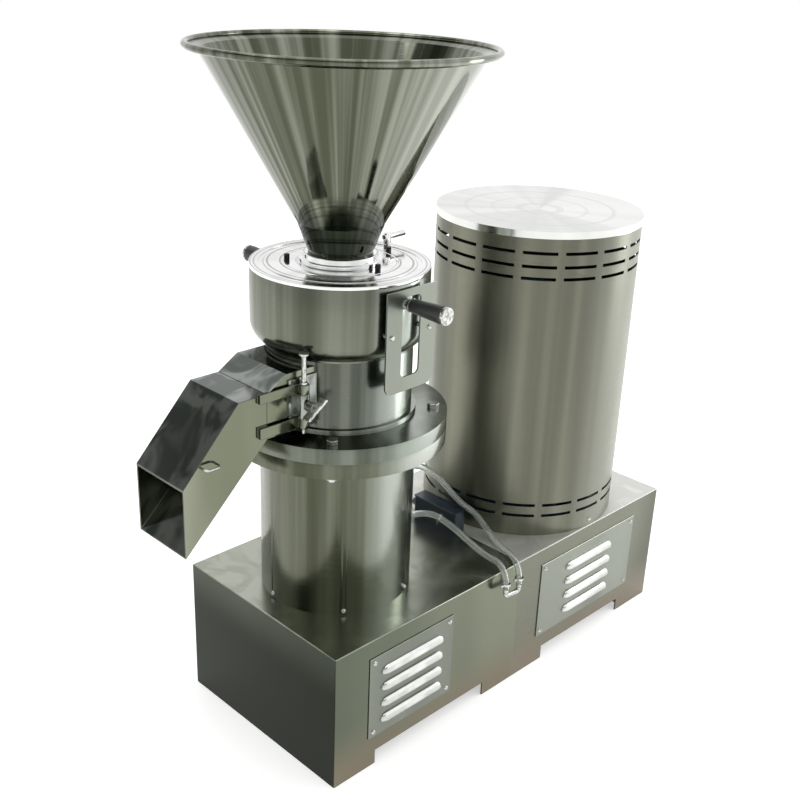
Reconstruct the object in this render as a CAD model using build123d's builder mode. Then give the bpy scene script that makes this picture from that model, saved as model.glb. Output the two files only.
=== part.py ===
from build123d import *
from math import atan2, cos, hypot, pi, radians, sin, tan
import os

# Peanut butter machine: a belt driven colloid mill on a folded steel base.
# The mill stands on the left of the base and the motor, under a slotted cover, on the right.
# Millimetres, +X from the mill to the motor, -Y the side with the louvred panels, +Z up.

# Folded base
BASE_LENGTH = 924.0
BASE_WIDTH = 397.0
BASE_HEIGHT = 260.0
BASE_SHEET = 3.0
FOLD_RADIUS = 2.5
SEAM_FROM_END = 462.0
FOOT_END_MILL = 95.0
FOOT_SEAM_MILL = 85.0
FOOT_SEAM_MOTOR = 94.0
FOOT_END_MOTOR = 109.0
NOTCH_HEIGHT = 28.0

# Welded frame inside the base
TUBE = 40.0
TUBE_WALL = 3.0
FOOT_PLATE_LENGTH = 82.0
FOOT_PLATE_WIDTH = 70.0
FOOT_PLATE_THICKNESS = 8.0
ANCHOR_RADIUS = 7.0
ANCHOR_FROM_LEG = 22.0

# Louvred panels
PANEL_SHEET = 2.0
PANEL_BOTTOM = 61.0
PANEL_BELOW_EDGE = 35.0
PANEL_MILL_START = 76.0
PANEL_MILL_LENGTH = 205.0
PANEL_MOTOR_START = 532.0
PANEL_MOTOR_LENGTH = 308.0
PANEL_LAP = 18.0
LOUVRE_COUNT = 4
LOUVRE_LENGTH = 150.0
LOUVRE_PITCH = 33.0
LOUVRE_HEIGHT = 14.0
LOUVRE_DEPTH = 8.0
LOUVRE_SHEET = 1.5
SCREW_INSET = 11.0
SCREW_HEAD_RADIUS = 4.5
SCREW_HEAD_HEIGHT = 2.6
SCREW_SHANK_RADIUS = 2.2
SCREW_HOLE_RADIUS = 2.5
SCREW_SHANK_LENGTH = 7.0

# Mill axis, column and bearing housing
MILL_FROM_END = 175.4
COLUMN_RADIUS = 134.0
COLUMN_WALL = 3.0
COLUMN_TOP = 545.0
FLANGE_RADIUS = 186.0
FLANGE_THICKNESS = 26.0
FLANGE_BOLT_CIRCLE = 162.0
FLANGE_BOLT_RADIUS = 6.0
FLANGE_BOLT_HOLE = 6.5
FLANGE_BOLT_HEX = 10.5
FLANGE_BOLT_HEAD = 8.0
FLANGE_BOLT_TAIL = 14.0
FLANGE_NUT_HEIGHT = 10.0
FLANGE_BOLT_COUNT = 4
FLANGE_BOLT_START = 45.0
HOUSING_RADIUS = 68.0
HOUSING_FLANGE = 112.0
HOUSING_FLANGE_THICKNESS = 14.0
HOUSING_BELOW_TOP = 290.0
BEARING_WIDTH = 20.0
BEARING_OUTER = 45.0
BEARING_SHOULDER = 4.0
COLUMN_SCREW_COUNT = 6
COLUMN_SCREW_START = -66.0
COLUMN_SCREW_HEIGHT = 8.0
TOP_HOLE_MARGIN = 12.0

# Spindle and grinding set
SPINDLE_RADIUS = 24.95
RUN_CLEARANCE = 0.05
SPINDLE_TAIL = 18.0
SHAFT_CHAMFER = 2.0
STUD_RADIUS = 14.0
BELT_LEVEL = 128.0
SEAL_RADIUS = 40.0
SLINGER_HUB = 36.0
SLINGER_REACH = 92.0
SLINGER_BLADES = 4
SLINGER_BLADE = 8.0
SLINGER_FLOOR_GAP = 6.0
BLADE_ROOT = 3.0
ROTOR_BOTTOM = 701.0
ROTOR_BOTTOM_RADIUS = 65.0
ROTOR_HEIGHT = 62.0
ROTOR_TAPER = 0.24
ROTOR_TEETH = 24
TOOTH_DEPTH = 2.0
TOOTH_WIDTH = 3.0
TOOTH_SLANT = 12.0
TOOTH_OVERRUN = 4.0
GRINDING_GAP = 0.8
STATOR_BELOW = 1.0
STATOR_ABOVE = 3.0
STATOR_RADIUS = 90.0
FEED_HUB_RADIUS = 20.0
FEED_BLADE_RADIUS = 42.0
FEED_BLADE_HEIGHT = 26.0
FEED_HUB_HEIGHT = 40.0
FEED_BLADE = 6.0
FEED_BLADE_COUNT = 3

# Mill body
BODY_RADIUS = 124.0
BODY_FOOT_RADIUS = 132.0
BODY_FOOT_HEIGHT = 8.0
CHAMBER_RADIUS = 105.0
CHAMBER_FLOOR = 15.0
NECK_RADIUS = 118.0
NECK_BOTTOM = 738.0
NECK_TOP = 803.0
NECK_THREAD_RELIEF = 7.0

# Adjusting drum and lid
DRUM_RADIUS = 148.0
DRUM_BOTTOM = 718.0
DRUM_WALL_BOTTOM = 757.0
DRUM_TOP = 843.0
DRUM_CAVITY = 135.0
DRUM_LIP = 3.0
SEAT_GAP = 0.3
HOLDER_FLANGE_RADIUS = 132.0
HOLDER_LIFT = 5.0
LID_RIM = 5.3
LID_SPIGOT = 5.0
LID_SPIGOT_GAP = 4.0
FEED_BORE = 50.0
GROOVE_OUTER = 133.0
GROOVE_STEP = 124.0
GROOVE_INNER = 92.0
GROOVE_WIDTH = 2.4
GROOVE_DEPTH = 1.5
COLLAR_RADIUS = 68.0
COLLAR_STEP_RADIUS = 61.0
COLLAR_HEIGHT = 16.5
COLLAR_STEP = 8.0
COLLAR_FLOOR = 3.0
EDGE_BREAK = 1.0
LID_BOLT_RADIUS = 5.0
LID_BOLT_HEIGHT = 9.0
LID_BOLTS = ((87.0, 136.0), (76.0, -81.0), (100.0, -5.0), (87.0, 60.0))
NOZZLE_TIP_RADIUS = 5.0
LID_NOZZLE_REACH = 154.0
LID_NOZZLE_START = 104.0
LID_NOZZLE_AZIMUTH = 4.0
LID_NOZZLE_HEIGHT = 21.0
LID_NOZZLE_FOOT = 8.0
NOZZLE_WALL = 1.5

# Hopper
HOPPER_SHEET = 2.0
SPIGOT_RADIUS = 52.0
NECK_END_RADIUS = 55.0
NECK_END_HEIGHT = 872.0
THROAT_RADIUS = 72.0
THROAT_HEIGHT = 915.0
CONE_TOP_RADIUS = 219.0
CONE_TOP_HEIGHT = 1172.0
RIM_RADIUS = 242.0
RIM_BEAD = 5.5
RIM_TOP = 1186.5

# Guard plate and handles on the drum
HANDLE_AZIMUTH = -88.0
HANDLE_LEVEL = 812.0
HANDLE_SPIGOT = 7.0
HANDLE_SPIGOT_DEPTH = 11.0
HANDLE_SHANK_RADIUS = 9.0
HANDLE_SHANK_GAP = 0.8
HANDLE_RING_RADIUS = 11.5
HANDLE_RING = 3.0
HANDLE_RING_GAP = 3.0
HANDLE_CORE_RADIUS = 5.0
GRIP_LENGTH = 66.0
GRIP_INNER_RADIUS = 10.0
GRIP_OUTER_RADIUS = 14.5
GRIP_LEAD_IN = 2.0
GRIP_LEAD_OUT = 4.0
CAP_THICKNESS = 6.0
GUARD_STANDOFF = 5.0
GUARD_SHEET = 3.0
GUARD_WIDTH = 110.0
GUARD_BOTTOM = 670.0
GUARD_TOP = 838.0
GUARD_CORNER = 16.0
WINDOW_WIDTH = 42.0
WINDOW_BOTTOM = 694.0
WINDOW_TOP = 826.0
WINDOW_CORNER = 9.0
GUARD_OFFSET = 5.0
GUARD_SCREW_SPREAD = 43.0
GUARD_SCREW_LEVEL = 766.0

# Outlet stub, chute and their hinge
DUCT_WIDTH = 125.0
DUCT_SHEET = 2.5
STUB_START = 94.5
CUT_OVERRUN = 20.0
STUB_TOP = 711.0
STUB_SLOPE_START = 164.4
STUB_BOTTOM = 612.0
JOINT_REACH = 202.4
CHUTE_TOP = 687.0
CHUTE_BEND = 255.4
CHUTE_REACH = 359.6
CHUTE_TOP_SLOPE = 47.1
CHUTE_BOTTOM_SLOPE = 44.3
OUTLET_HALF_WIDTH = 50.0
OUTLET_BOTTOM = 620.0
OUTLET_TOP = 700.0
CHEEK_SHEET = 3.0
CHEEK_START = 95.0
CHEEK_END = 162.0
CHEEK_BOTTOM = 614.0
CHEEK_TOP = 700.0
HINGE_REACH = 139.4
KNUCKLE_RADIUS = 9.0
HINGE_PIN_RADIUS = 4.0
HINGE_CLEARANCE = 0.1
KNUCKLE_LOW = 618.0
KNUCKLE_MID_LOW = 636.0
KNUCKLE_MID_HIGH = 676.0
KNUCKLE_HIGH = 692.0
PIN_BOTTOM = 608.0
PIN_TOP = 743.0
PIN_DISC_RADIUS = 8.0
PIN_DISC = 3.0
PIN_STOP_RADIUS = 6.0
LOCK_LEVEL = 658.0
LOCK_RADIUS = 5.0
LOCK_LENGTH = 22.0
WING_SPAN = 46.0
WING_HEIGHT = 15.0
WING_THICKNESS = 5.0
WING_HUB_RADIUS = 9.0
WING_HUB_LENGTH = 12.0
WING_ANGLE = 35.0
CLIP_WIRE = 2.0
CLIP_WIDTH = 26.0
CLIP_DEPTH = 13.0
CLIP_REACH = 312.4
CLIP_LEVEL = 601.0

# Motor, its cover and the belt drive
MOTOR_FROM_END = 686.0
COVER_INSET = 2.5
COVER_SHEET = 2.0
COVER_TOP = 864.0
SLOT_COUNT = 16
SLOT_ARC = 18.4
SLOT_HEIGHT = 6.0
SLOT_START = -171.4
SLOT_ROWS_TOP = (36.0, 61.0, 83.0)
SLOT_ROWS_BOTTOM = (43.5, 66.0)
COVER_LID_LIP = 2.0
COVER_LID_SKIRT = 9.0
COVER_LID_TOP = 868.0
COVER_LID_DISH = 3.0
COVER_LID_BORDER = 20.0
COVER_LID_SHEET = 3.0
COVER_SCREW_COUNT = 4
COVER_SCREW_AZIMUTH = -92.0
COVER_SCREW_HEIGHT = 13.0
MOTOR_FLANGE_RADIUS = 150.0
MOTOR_FLANGE_THICKNESS = 20.0
MOTOR_FRAME_RADIUS = 126.0
MOTOR_FRAME_WALL = 7.0
MOTOR_FRAME_LENGTH = 330.0
MOTOR_SHIELD = 16.0
MOTOR_SHIELD_BOSS = 12.0
MOTOR_HOLE_MARGIN = 15.0
MOTOR_CORE_RADIUS = 80.0
MOTOR_AIR_GAP = 0.5
MOTOR_CORE_INSET = 70.0
FIN_COUNT = 20
FIN_HEIGHT = 14.0
FIN_THICKNESS = 4.0
MOTOR_SHAFT_RADIUS = 20.95
MOTOR_BEARING_OUTER = 45.0
FAN_RADIUS = 98.0
FAN_BLADES = 7
FAN_HEIGHT = 30.0
FAN_DISC = 4.0
FAN_BLADE = 3.0
FAN_HUB = 10.0
COWL_HEIGHT = 77.0
COWL_SHEET = 2.0
COWL_HOLE_ROWS = (30.0, 48.0, 66.0, 84.0)
COWL_HOLE_RADIUS = 5.0
MOTOR_PULLEY_RADIUS = 76.0
SPINDLE_PULLEY_RADIUS = 70.0
PULLEY_GROOVES = 3
GROOVE_PITCH = 19.0
BELT_WIDTH = 11.0
BELT_THICKNESS = 9.0
BELT_PROUD = 1.0
BELT_CLEARANCE = 0.3
PULLEY_EDGE = 8.0
PULLEY_BORE_WALL = 14.0

# Junction box and cooling water hoses
BOX_LENGTH = 110.0
BOX_DEPTH = 30.0
BOX_HEIGHT = 48.0
BOX_TO_COVER = 20.2
BOX_Y = 6.0
BOX_LID = 3.0
BOX_LID_EDGE = 1.0
BOX_CORNER = 3.0
GLAND_RADIUS = 8.0
GLAND_LENGTH = 14.0
HOSE_RADIUS = 6.0
NOZZLE_REACH = 26.0
NOZZLE_NUT_RADIUS = 9.0
NOZZLE_NUT_LENGTH = 8.0
RETURN_NOZZLE_AZIMUTH = 0.0
RETURN_NOZZLE_LEVEL = 422.0
SUPPLY_NOZZLE_AZIMUTH = -12.0
SUPPLY_NOZZLE_LEVEL = 338.0
HOSE_LEAD = 40.0
JOINER_RADIUS = 5.0
JOINER_DROP = 14.0
CLAMP_RADIUS = 8.5
CLAMP_WIDTH = 4.0
CLAMP_WING = 9.0
CLAMP_WING_SHEET = 3.0

# Positions that follow from the sizes above
left_end = -(BASE_LENGTH + CHUTE_REACH - MILL_FROM_END) / 2 + CHUTE_REACH - MILL_FROM_END
right_end = left_end + BASE_LENGTH
seam_x = left_end + SEAM_FROM_END
mill_x = left_end + MILL_FROM_END
motor_x = left_end + MOTOR_FROM_END
front_y = -BASE_WIDTH / 2
panel_top = BASE_HEIGHT - PANEL_BELOW_EDGE
cover_radius = BASE_WIDTH / 2 - COVER_INSET
flange_top = COLUMN_TOP + 2 * FLANGE_THICKNESS
floor_z = flange_top + CHAMBER_FLOOR
mill_section = Plane(origin=(mill_x, 0, 0), x_dir=(1, 0, 0), z_dir=(0, -1, 0))
motor_section = Plane(origin=(motor_x, 0, 0), x_dir=(1, 0, 0), z_dir=(0, -1, 0))
mill_axis = Axis((mill_x, 0, 0), (0, 0, 1))
motor_axis = Axis((motor_x, 0, 0), (0, 0, 1))

os.makedirs("parts", exist_ok=True)


def save(builder, name):
    """Label a finished piece and write its STEP file."""
    builder.part.label = name
    export_step(builder.part, "parts/" + name + ".step")


def level(x, y, z):
    """A horizontal plane whose origin is the point x, y, z."""
    return Plane(origin=(x, y, z))


def radial(x, azimuth, reach, z):
    """A plane facing away from the vertical axis at x, with its own y axis upwards."""
    outward = (cos(radians(azimuth)), sin(radians(azimuth)), 0)
    across = (-sin(radians(azimuth)), cos(radians(azimuth)), 0)
    return Plane(origin=(x + reach * outward[0], reach * outward[1], z), x_dir=across, z_dir=outward)


def front(x, y, z):
    """A plane facing -Y at the point x, y, z, with its own y axis upwards."""
    return Plane(origin=(x, y, z), x_dir=(1, 0, 0), z_dir=(0, -1, 0))


# Folded base shells

def base_shell(start, length, end_is_left, foot_end, foot_seam, hole_x, hole_radius, panel):
    """One folded sheet box, open below and towards the seam, with a foot at each corner."""
    panel_start, panel_length = panel
    middle = start + length / 2
    notch_start = start + (foot_end if end_is_left else foot_seam)
    notch_length = length - foot_end - foot_seam
    inner_start = start + (BASE_SHEET if end_is_left else 0)
    with BuildPart() as shell:
        with BuildSketch(level(middle, 0, 0)):
            Rectangle(length, BASE_WIDTH)
        extrude(amount=BASE_HEIGHT)
        upright = shell.edges().filter_by(Axis.Z).sort_by(Axis.X)
        rounded = upright[:2] if end_is_left else upright[-2:]
        fillet(list(rounded), FOLD_RADIUS)
        rim = shell.faces().sort_by(Axis.Z)[-1].edges()
        seam_edge = rim.sort_by(Axis.X)[-1] if end_is_left else rim.sort_by(Axis.X)[0]
        fillet([edge for edge in rim if edge != seam_edge], FOLD_RADIUS)
        with BuildSketch(level(inner_start + (length - BASE_SHEET) / 2, 0, 0)):
            Rectangle(length - BASE_SHEET, BASE_WIDTH - 2 * BASE_SHEET)
        extrude(amount=BASE_HEIGHT - BASE_SHEET, mode=Mode.SUBTRACT)
        with BuildSketch(front(notch_start + notch_length / 2, -front_y, NOTCH_HEIGHT / 2)):
            Rectangle(notch_length, NOTCH_HEIGHT)
        extrude(amount=BASE_WIDTH, mode=Mode.SUBTRACT)
        with BuildSketch(level(hole_x, 0, BASE_HEIGHT - BASE_SHEET)):
            Circle(hole_radius)
        extrude(amount=BASE_SHEET, mode=Mode.SUBTRACT)
        panel_middle = left_end + panel_start + panel_length / 2
        panel_level = (PANEL_BOTTOM + panel_top) / 2
        panel_height = panel_top - PANEL_BOTTOM
        with BuildSketch(front(panel_middle, front_y + BASE_SHEET, panel_level)):
            Rectangle(panel_length - 2 * PANEL_LAP, panel_height - 2 * PANEL_LAP)
            with GridLocations(panel_length - 2 * SCREW_INSET, panel_height - 2 * SCREW_INSET, 2, 2):
                Circle(SCREW_HOLE_RADIUS)
        extrude(amount=BASE_SHEET, mode=Mode.SUBTRACT)
    return shell


mill_panel = (PANEL_MILL_START, PANEL_MILL_LENGTH)
motor_panel = (PANEL_MOTOR_START, PANEL_MOTOR_LENGTH)
motor_box_length = BASE_LENGTH - SEAM_FROM_END
top_hole = HOUSING_RADIUS + TOP_HOLE_MARGIN
motor_hole = MOTOR_BEARING_OUTER + MOTOR_HOLE_MARGIN
base_shell_mill = base_shell(left_end, SEAM_FROM_END, True, FOOT_END_MILL, FOOT_SEAM_MILL,
                             mill_x, top_hole, mill_panel)
save(base_shell_mill, "base_shell_mill")
base_shell_motor = base_shell(seam_x, motor_box_length, False, FOOT_END_MOTOR, FOOT_SEAM_MOTOR,
                              motor_x, motor_hole, motor_panel)
save(base_shell_motor, "base_shell_motor")

# Welded tube frame with anchor plates, hidden inside the shells
frame_y = BASE_WIDTH / 2 - BASE_SHEET - TUBE / 2
rail_top = BASE_HEIGHT - BASE_SHEET
rail_length = BASE_LENGTH - 2 * BASE_SHEET
leg_xs = (left_end + BASE_SHEET + TUBE / 2, right_end - BASE_SHEET - TUBE / 2)
plate_xs = (left_end + BASE_SHEET + FOOT_PLATE_LENGTH / 2, right_end - BASE_SHEET - FOOT_PLATE_LENGTH / 2)
anchor_xs = (leg_xs[0] + TUBE / 2 + ANCHOR_FROM_LEG, leg_xs[1] - TUBE / 2 - ANCHOR_FROM_LEG)
anchor_y = BASE_WIDTH / 2 - BASE_SHEET - FOOT_PLATE_WIDTH / 2
cross_offsets = (top_hole + TUBE / 2, motor_hole + TUBE / 2)
cross_xs = [mill_x - cross_offsets[0], mill_x + cross_offsets[0],
            motor_x - cross_offsets[1], motor_x + cross_offsets[1]]
with BuildPart() as base_frame:
    for side in (-1, 1):
        with BuildSketch(Plane(origin=(left_end + BASE_SHEET, side * frame_y, rail_top - TUBE / 2),
                               x_dir=(0, 1, 0), z_dir=(1, 0, 0))):
            Rectangle(TUBE, TUBE)
            Rectangle(TUBE - 2 * TUBE_WALL, TUBE - 2 * TUBE_WALL, mode=Mode.SUBTRACT)
        extrude(amount=rail_length)
    for x in cross_xs:
        with BuildSketch(front(x, frame_y - TUBE / 2, rail_top - TUBE / 2)):
            Rectangle(TUBE, TUBE)
            Rectangle(TUBE - 2 * TUBE_WALL, TUBE - 2 * TUBE_WALL, mode=Mode.SUBTRACT)
        extrude(amount=2 * frame_y - TUBE)
    for x, plate_x, anchor_x in zip(leg_xs, plate_xs, anchor_xs):
        for side in (-1, 1):
            with BuildSketch(level(x, side * frame_y, FOOT_PLATE_THICKNESS)):
                Rectangle(TUBE, TUBE)
                Rectangle(TUBE - 2 * TUBE_WALL, TUBE - 2 * TUBE_WALL, mode=Mode.SUBTRACT)
            extrude(amount=rail_top - TUBE - FOOT_PLATE_THICKNESS)
            with BuildSketch(level(plate_x, side * anchor_y, 0)):
                Rectangle(FOOT_PLATE_LENGTH, FOOT_PLATE_WIDTH)
            extrude(amount=FOOT_PLATE_THICKNESS)
            with BuildSketch(level(anchor_x, side * anchor_y, 0)):
                Circle(ANCHOR_RADIUS)
            extrude(amount=FOOT_PLATE_THICKNESS, mode=Mode.SUBTRACT)
save(base_frame, "base_frame")


# Louvred panels and their screws

def louvre_bulge(middle, bottom, depth, height, length):
    """Solid bulge of one pressed louvre: a quarter ellipse along its length."""
    end = Plane(origin=(middle - length / 2, front_y - PANEL_SHEET, bottom), x_dir=(0, -1, 0), z_dir=(-1, 0, 0))
    with BuildPart() as bulge:
        with BuildSketch(end):
            with BuildLine():
                EllipticalCenterArc((0, 0), depth, height, start_angle=0, arc_size=90)
                Line((0, height), (0, 0))
                Line((0, 0), (depth, 0))
            make_face()
        extrude(amount=-length)
    return bulge.part


def louvre_hood(middle, bottom):
    """Sheet hood of one louvre, hollow and open below."""
    with BuildPart() as hood:
        add(louvre_bulge(middle, bottom, LOUVRE_DEPTH, LOUVRE_HEIGHT, LOUVRE_LENGTH))
        add(louvre_bulge(middle, bottom, LOUVRE_DEPTH - LOUVRE_SHEET, LOUVRE_HEIGHT - LOUVRE_SHEET,
                         LOUVRE_LENGTH - 2 * LOUVRE_SHEET), mode=Mode.SUBTRACT)
    return hood.part


def louvre_panel(start, length):
    """Flat cover panel with pressed louvres that open downwards."""
    middle = left_end + start + length / 2
    middle_z = (PANEL_BOTTOM + panel_top) / 2
    height = panel_top - PANEL_BOTTOM
    with BuildPart() as panel:
        with BuildSketch(front(middle, front_y, middle_z)):
            Rectangle(length, height)
            with GridLocations(length - 2 * SCREW_INSET, height - 2 * SCREW_INSET, 2, 2):
                Circle(SCREW_HOLE_RADIUS, mode=Mode.SUBTRACT)
            with GridLocations(0, LOUVRE_PITCH, 1, LOUVRE_COUNT):
                Rectangle(LOUVRE_LENGTH - 4 * LOUVRE_SHEET, LOUVRE_HEIGHT - 4 * LOUVRE_SHEET,
                          mode=Mode.SUBTRACT)
        extrude(amount=PANEL_SHEET)
        for i in range(LOUVRE_COUNT):
            rise = (i - (LOUVRE_COUNT - 1) / 2) * LOUVRE_PITCH
            add(louvre_hood(middle, middle_z + rise - LOUVRE_HEIGHT / 2))
    return panel


save(louvre_panel(*mill_panel), "louvre_panel_mill")
save(louvre_panel(*motor_panel), "louvre_panel_motor")

with BuildPart() as panel_screws:
    for start, length in (mill_panel, motor_panel):
        for x in (left_end + start + SCREW_INSET, left_end + start + length - SCREW_INSET):
            for z in (PANEL_BOTTOM + SCREW_INSET, panel_top - SCREW_INSET):
                face_y = front_y - PANEL_SHEET
                with BuildSketch(front(x, face_y, z)):
                    Circle(SCREW_HEAD_RADIUS)
                extrude(amount=SCREW_HEAD_HEIGHT, taper=25)
                with BuildSketch(front(x, face_y, z)):
                    Circle(SCREW_SHANK_RADIUS)
                extrude(amount=-SCREW_SHANK_LENGTH)
save(panel_screws, "panel_screws")

# Column with its welded top flange
with BuildPart() as column:
    with BuildSketch(mill_section):
        Polygon((COLUMN_RADIUS - COLUMN_WALL, BASE_HEIGHT), (COLUMN_RADIUS, BASE_HEIGHT),
                (COLUMN_RADIUS, COLUMN_TOP), (FLANGE_RADIUS, COLUMN_TOP),
                (FLANGE_RADIUS, COLUMN_TOP + FLANGE_THICKNESS), (SEAL_RADIUS, COLUMN_TOP + FLANGE_THICKNESS),
                (SEAL_RADIUS, COLUMN_TOP), (COLUMN_RADIUS - COLUMN_WALL, COLUMN_TOP), align=None)
    revolve(axis=mill_axis)
    with BuildSketch(level(mill_x, 0, COLUMN_TOP)):
        with PolarLocations(FLANGE_BOLT_CIRCLE, FLANGE_BOLT_COUNT, start_angle=FLANGE_BOLT_START):
            Circle(FLANGE_BOLT_HOLE)
    extrude(amount=FLANGE_THICKNESS, mode=Mode.SUBTRACT)
    for i in range(COLUMN_SCREW_COUNT):
        azimuth = COLUMN_SCREW_START + 360 * i / COLUMN_SCREW_COUNT
        with BuildSketch(radial(mill_x, azimuth, COLUMN_RADIUS - 2 * COLUMN_WALL, BASE_HEIGHT + COLUMN_SCREW_HEIGHT)):
            Circle(SCREW_HOLE_RADIUS)
        extrude(amount=3 * COLUMN_WALL, mode=Mode.SUBTRACT)
save(column, "column")

with BuildPart() as column_screws:
    for i in range(COLUMN_SCREW_COUNT):
        azimuth = COLUMN_SCREW_START + 360 * i / COLUMN_SCREW_COUNT
        seat = radial(mill_x, azimuth, COLUMN_RADIUS, BASE_HEIGHT + COLUMN_SCREW_HEIGHT)
        with BuildSketch(seat):
            Circle(SCREW_HEAD_RADIUS)
        extrude(amount=SCREW_HEAD_HEIGHT, taper=25)
        with BuildSketch(seat):
            Circle(SCREW_SHANK_RADIUS)
        extrude(amount=-SCREW_SHANK_LENGTH)
save(column_screws, "column_screws")

# Bearing housing that hangs from the column's flange, and its two bearings
housing_bottom = COLUMN_TOP - HOUSING_BELOW_TOP
bore_through = BEARING_OUTER - BEARING_SHOULDER
upper_seat = COLUMN_TOP - BEARING_WIDTH
lower_seat = housing_bottom + BEARING_WIDTH
with BuildPart() as bearing_housing:
    with BuildSketch(mill_section):
        Polygon((BEARING_OUTER, housing_bottom), (HOUSING_RADIUS, housing_bottom),
                (HOUSING_RADIUS, COLUMN_TOP - HOUSING_FLANGE_THICKNESS),
                (HOUSING_FLANGE, COLUMN_TOP - HOUSING_FLANGE_THICKNESS), (HOUSING_FLANGE, COLUMN_TOP),
                (BEARING_OUTER, COLUMN_TOP), (BEARING_OUTER, upper_seat), (bore_through, upper_seat),
                (bore_through, lower_seat), (BEARING_OUTER, lower_seat), align=None)
    revolve(axis=mill_axis)
save(bearing_housing, "bearing_housing")


def bearing(x, bottom, inner, outer, width):
    """Ball bearing drawn as its two rings with the balls' path between them."""
    ring = (outer - inner) / 3
    groove = width / 6
    section = Plane(origin=(x, 0, 0), x_dir=(1, 0, 0), z_dir=(0, -1, 0))
    with BuildPart() as rings:
        with BuildSketch(section):
            Polygon((inner, bottom), (inner + ring, bottom), (inner + ring, bottom + groove),
                    (outer - ring, bottom + groove), (outer - ring, bottom), (outer, bottom),
                    (outer, bottom + width), (outer - ring, bottom + width),
                    (outer - ring, bottom + width - groove), (inner + ring, bottom + width - groove),
                    (inner + ring, bottom + width), (inner, bottom + width), align=None)
        revolve(axis=Axis((x, 0, 0), (0, 0, 1)))
    return rings


spindle_bore = SPINDLE_RADIUS + RUN_CLEARANCE
save(bearing(mill_x, upper_seat, spindle_bore, BEARING_OUTER, BEARING_WIDTH), "spindle_bearing_upper")
save(bearing(mill_x, housing_bottom, spindle_bore, BEARING_OUTER, BEARING_WIDTH), "spindle_bearing_lower")

# Mill body with its flange, chamber, outlet window and threaded neck
with BuildPart() as mill_body:
    with BuildSketch(mill_section):
        Polygon((SEAL_RADIUS, COLUMN_TOP + FLANGE_THICKNESS), (FLANGE_RADIUS, COLUMN_TOP + FLANGE_THICKNESS),
                (FLANGE_RADIUS, flange_top), (BODY_FOOT_RADIUS, flange_top),
                (BODY_FOOT_RADIUS, flange_top + BODY_FOOT_HEIGHT), (BODY_RADIUS, flange_top + BODY_FOOT_HEIGHT),
                (BODY_RADIUS, NECK_BOTTOM), (NECK_RADIUS, NECK_BOTTOM), (NECK_RADIUS, NECK_TOP),
                (CHAMBER_RADIUS, NECK_TOP), (CHAMBER_RADIUS, floor_z), (SEAL_RADIUS, floor_z), align=None)
    revolve(axis=mill_axis)
    with BuildSketch(level(mill_x, 0, COLUMN_TOP + FLANGE_THICKNESS)):
        with PolarLocations(FLANGE_BOLT_CIRCLE, FLANGE_BOLT_COUNT, start_angle=FLANGE_BOLT_START):
            Circle(FLANGE_BOLT_HOLE)
    extrude(amount=FLANGE_THICKNESS, mode=Mode.SUBTRACT)
    with BuildSketch(Plane(origin=(mill_x, 0, (OUTLET_BOTTOM + OUTLET_TOP) / 2), x_dir=(0, 1, 0), z_dir=(-1, 0, 0))):
        Rectangle(2 * OUTLET_HALF_WIDTH, OUTLET_TOP - OUTLET_BOTTOM)
    extrude(amount=BODY_RADIUS + BODY_FOOT_HEIGHT, mode=Mode.SUBTRACT)
save(mill_body, "mill_body")

with BuildPart() as flange_bolts:
    with BuildSketch(level(mill_x, 0, flange_top)):
        with PolarLocations(FLANGE_BOLT_CIRCLE, FLANGE_BOLT_COUNT, start_angle=FLANGE_BOLT_START):
            RegularPolygon(FLANGE_BOLT_HEX, 6)
    extrude(amount=FLANGE_BOLT_HEAD)
    with BuildSketch(level(mill_x, 0, flange_top)):
        with PolarLocations(FLANGE_BOLT_CIRCLE, FLANGE_BOLT_COUNT, start_angle=FLANGE_BOLT_START):
            Circle(FLANGE_BOLT_RADIUS)
    extrude(amount=-(2 * FLANGE_THICKNESS + FLANGE_BOLT_TAIL))
save(flange_bolts, "flange_bolts")

with BuildPart() as flange_nuts:
    with BuildSketch(level(mill_x, 0, COLUMN_TOP)):
        with PolarLocations(FLANGE_BOLT_CIRCLE, FLANGE_BOLT_COUNT, start_angle=FLANGE_BOLT_START):
            RegularPolygon(FLANGE_BOLT_HEX, 6)
        with PolarLocations(FLANGE_BOLT_CIRCLE, FLANGE_BOLT_COUNT, start_angle=FLANGE_BOLT_START):
            Circle(FLANGE_BOLT_RADIUS, mode=Mode.SUBTRACT)
    extrude(amount=-FLANGE_NUT_HEIGHT)
save(flange_nuts, "flange_nuts")

# Face seal in the chamber floor
with BuildPart() as spindle_seal:
    with BuildSketch(mill_section):
        Polygon((spindle_bore, COLUMN_TOP + FLANGE_THICKNESS), (SEAL_RADIUS, COLUMN_TOP + FLANGE_THICKNESS),
                (SEAL_RADIUS, floor_z), (spindle_bore, floor_z), align=None)
    revolve(axis=mill_axis)
save(spindle_seal, "spindle_seal")

# Spindle, slinger, rotor and feed screw
rotor_bottom = ROTOR_BOTTOM
rotor_top = rotor_bottom + ROTOR_HEIGHT
rotor_top_radius = ROTOR_BOTTOM_RADIUS - ROTOR_TAPER * ROTOR_HEIGHT
pulley_height = PULLEY_GROOVES * GROOVE_PITCH + 2 * PULLEY_EDGE
pulley_bottom = BELT_LEVEL - pulley_height / 2
pulley_top = BELT_LEVEL + pulley_height / 2
spindle_bottom = pulley_bottom - SPINDLE_TAIL
with BuildPart() as spindle:
    with BuildSketch(level(mill_x, 0, spindle_bottom)):
        Circle(SPINDLE_RADIUS)
    extrude(amount=rotor_bottom - spindle_bottom)
    with BuildSketch(level(mill_x, 0, rotor_bottom)):
        Circle(STUD_RADIUS)
    extrude(amount=ROTOR_HEIGHT)
    chamfer(spindle.edges().group_by(Axis.Z)[0], SHAFT_CHAMFER)
save(spindle, "spindle")

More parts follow.
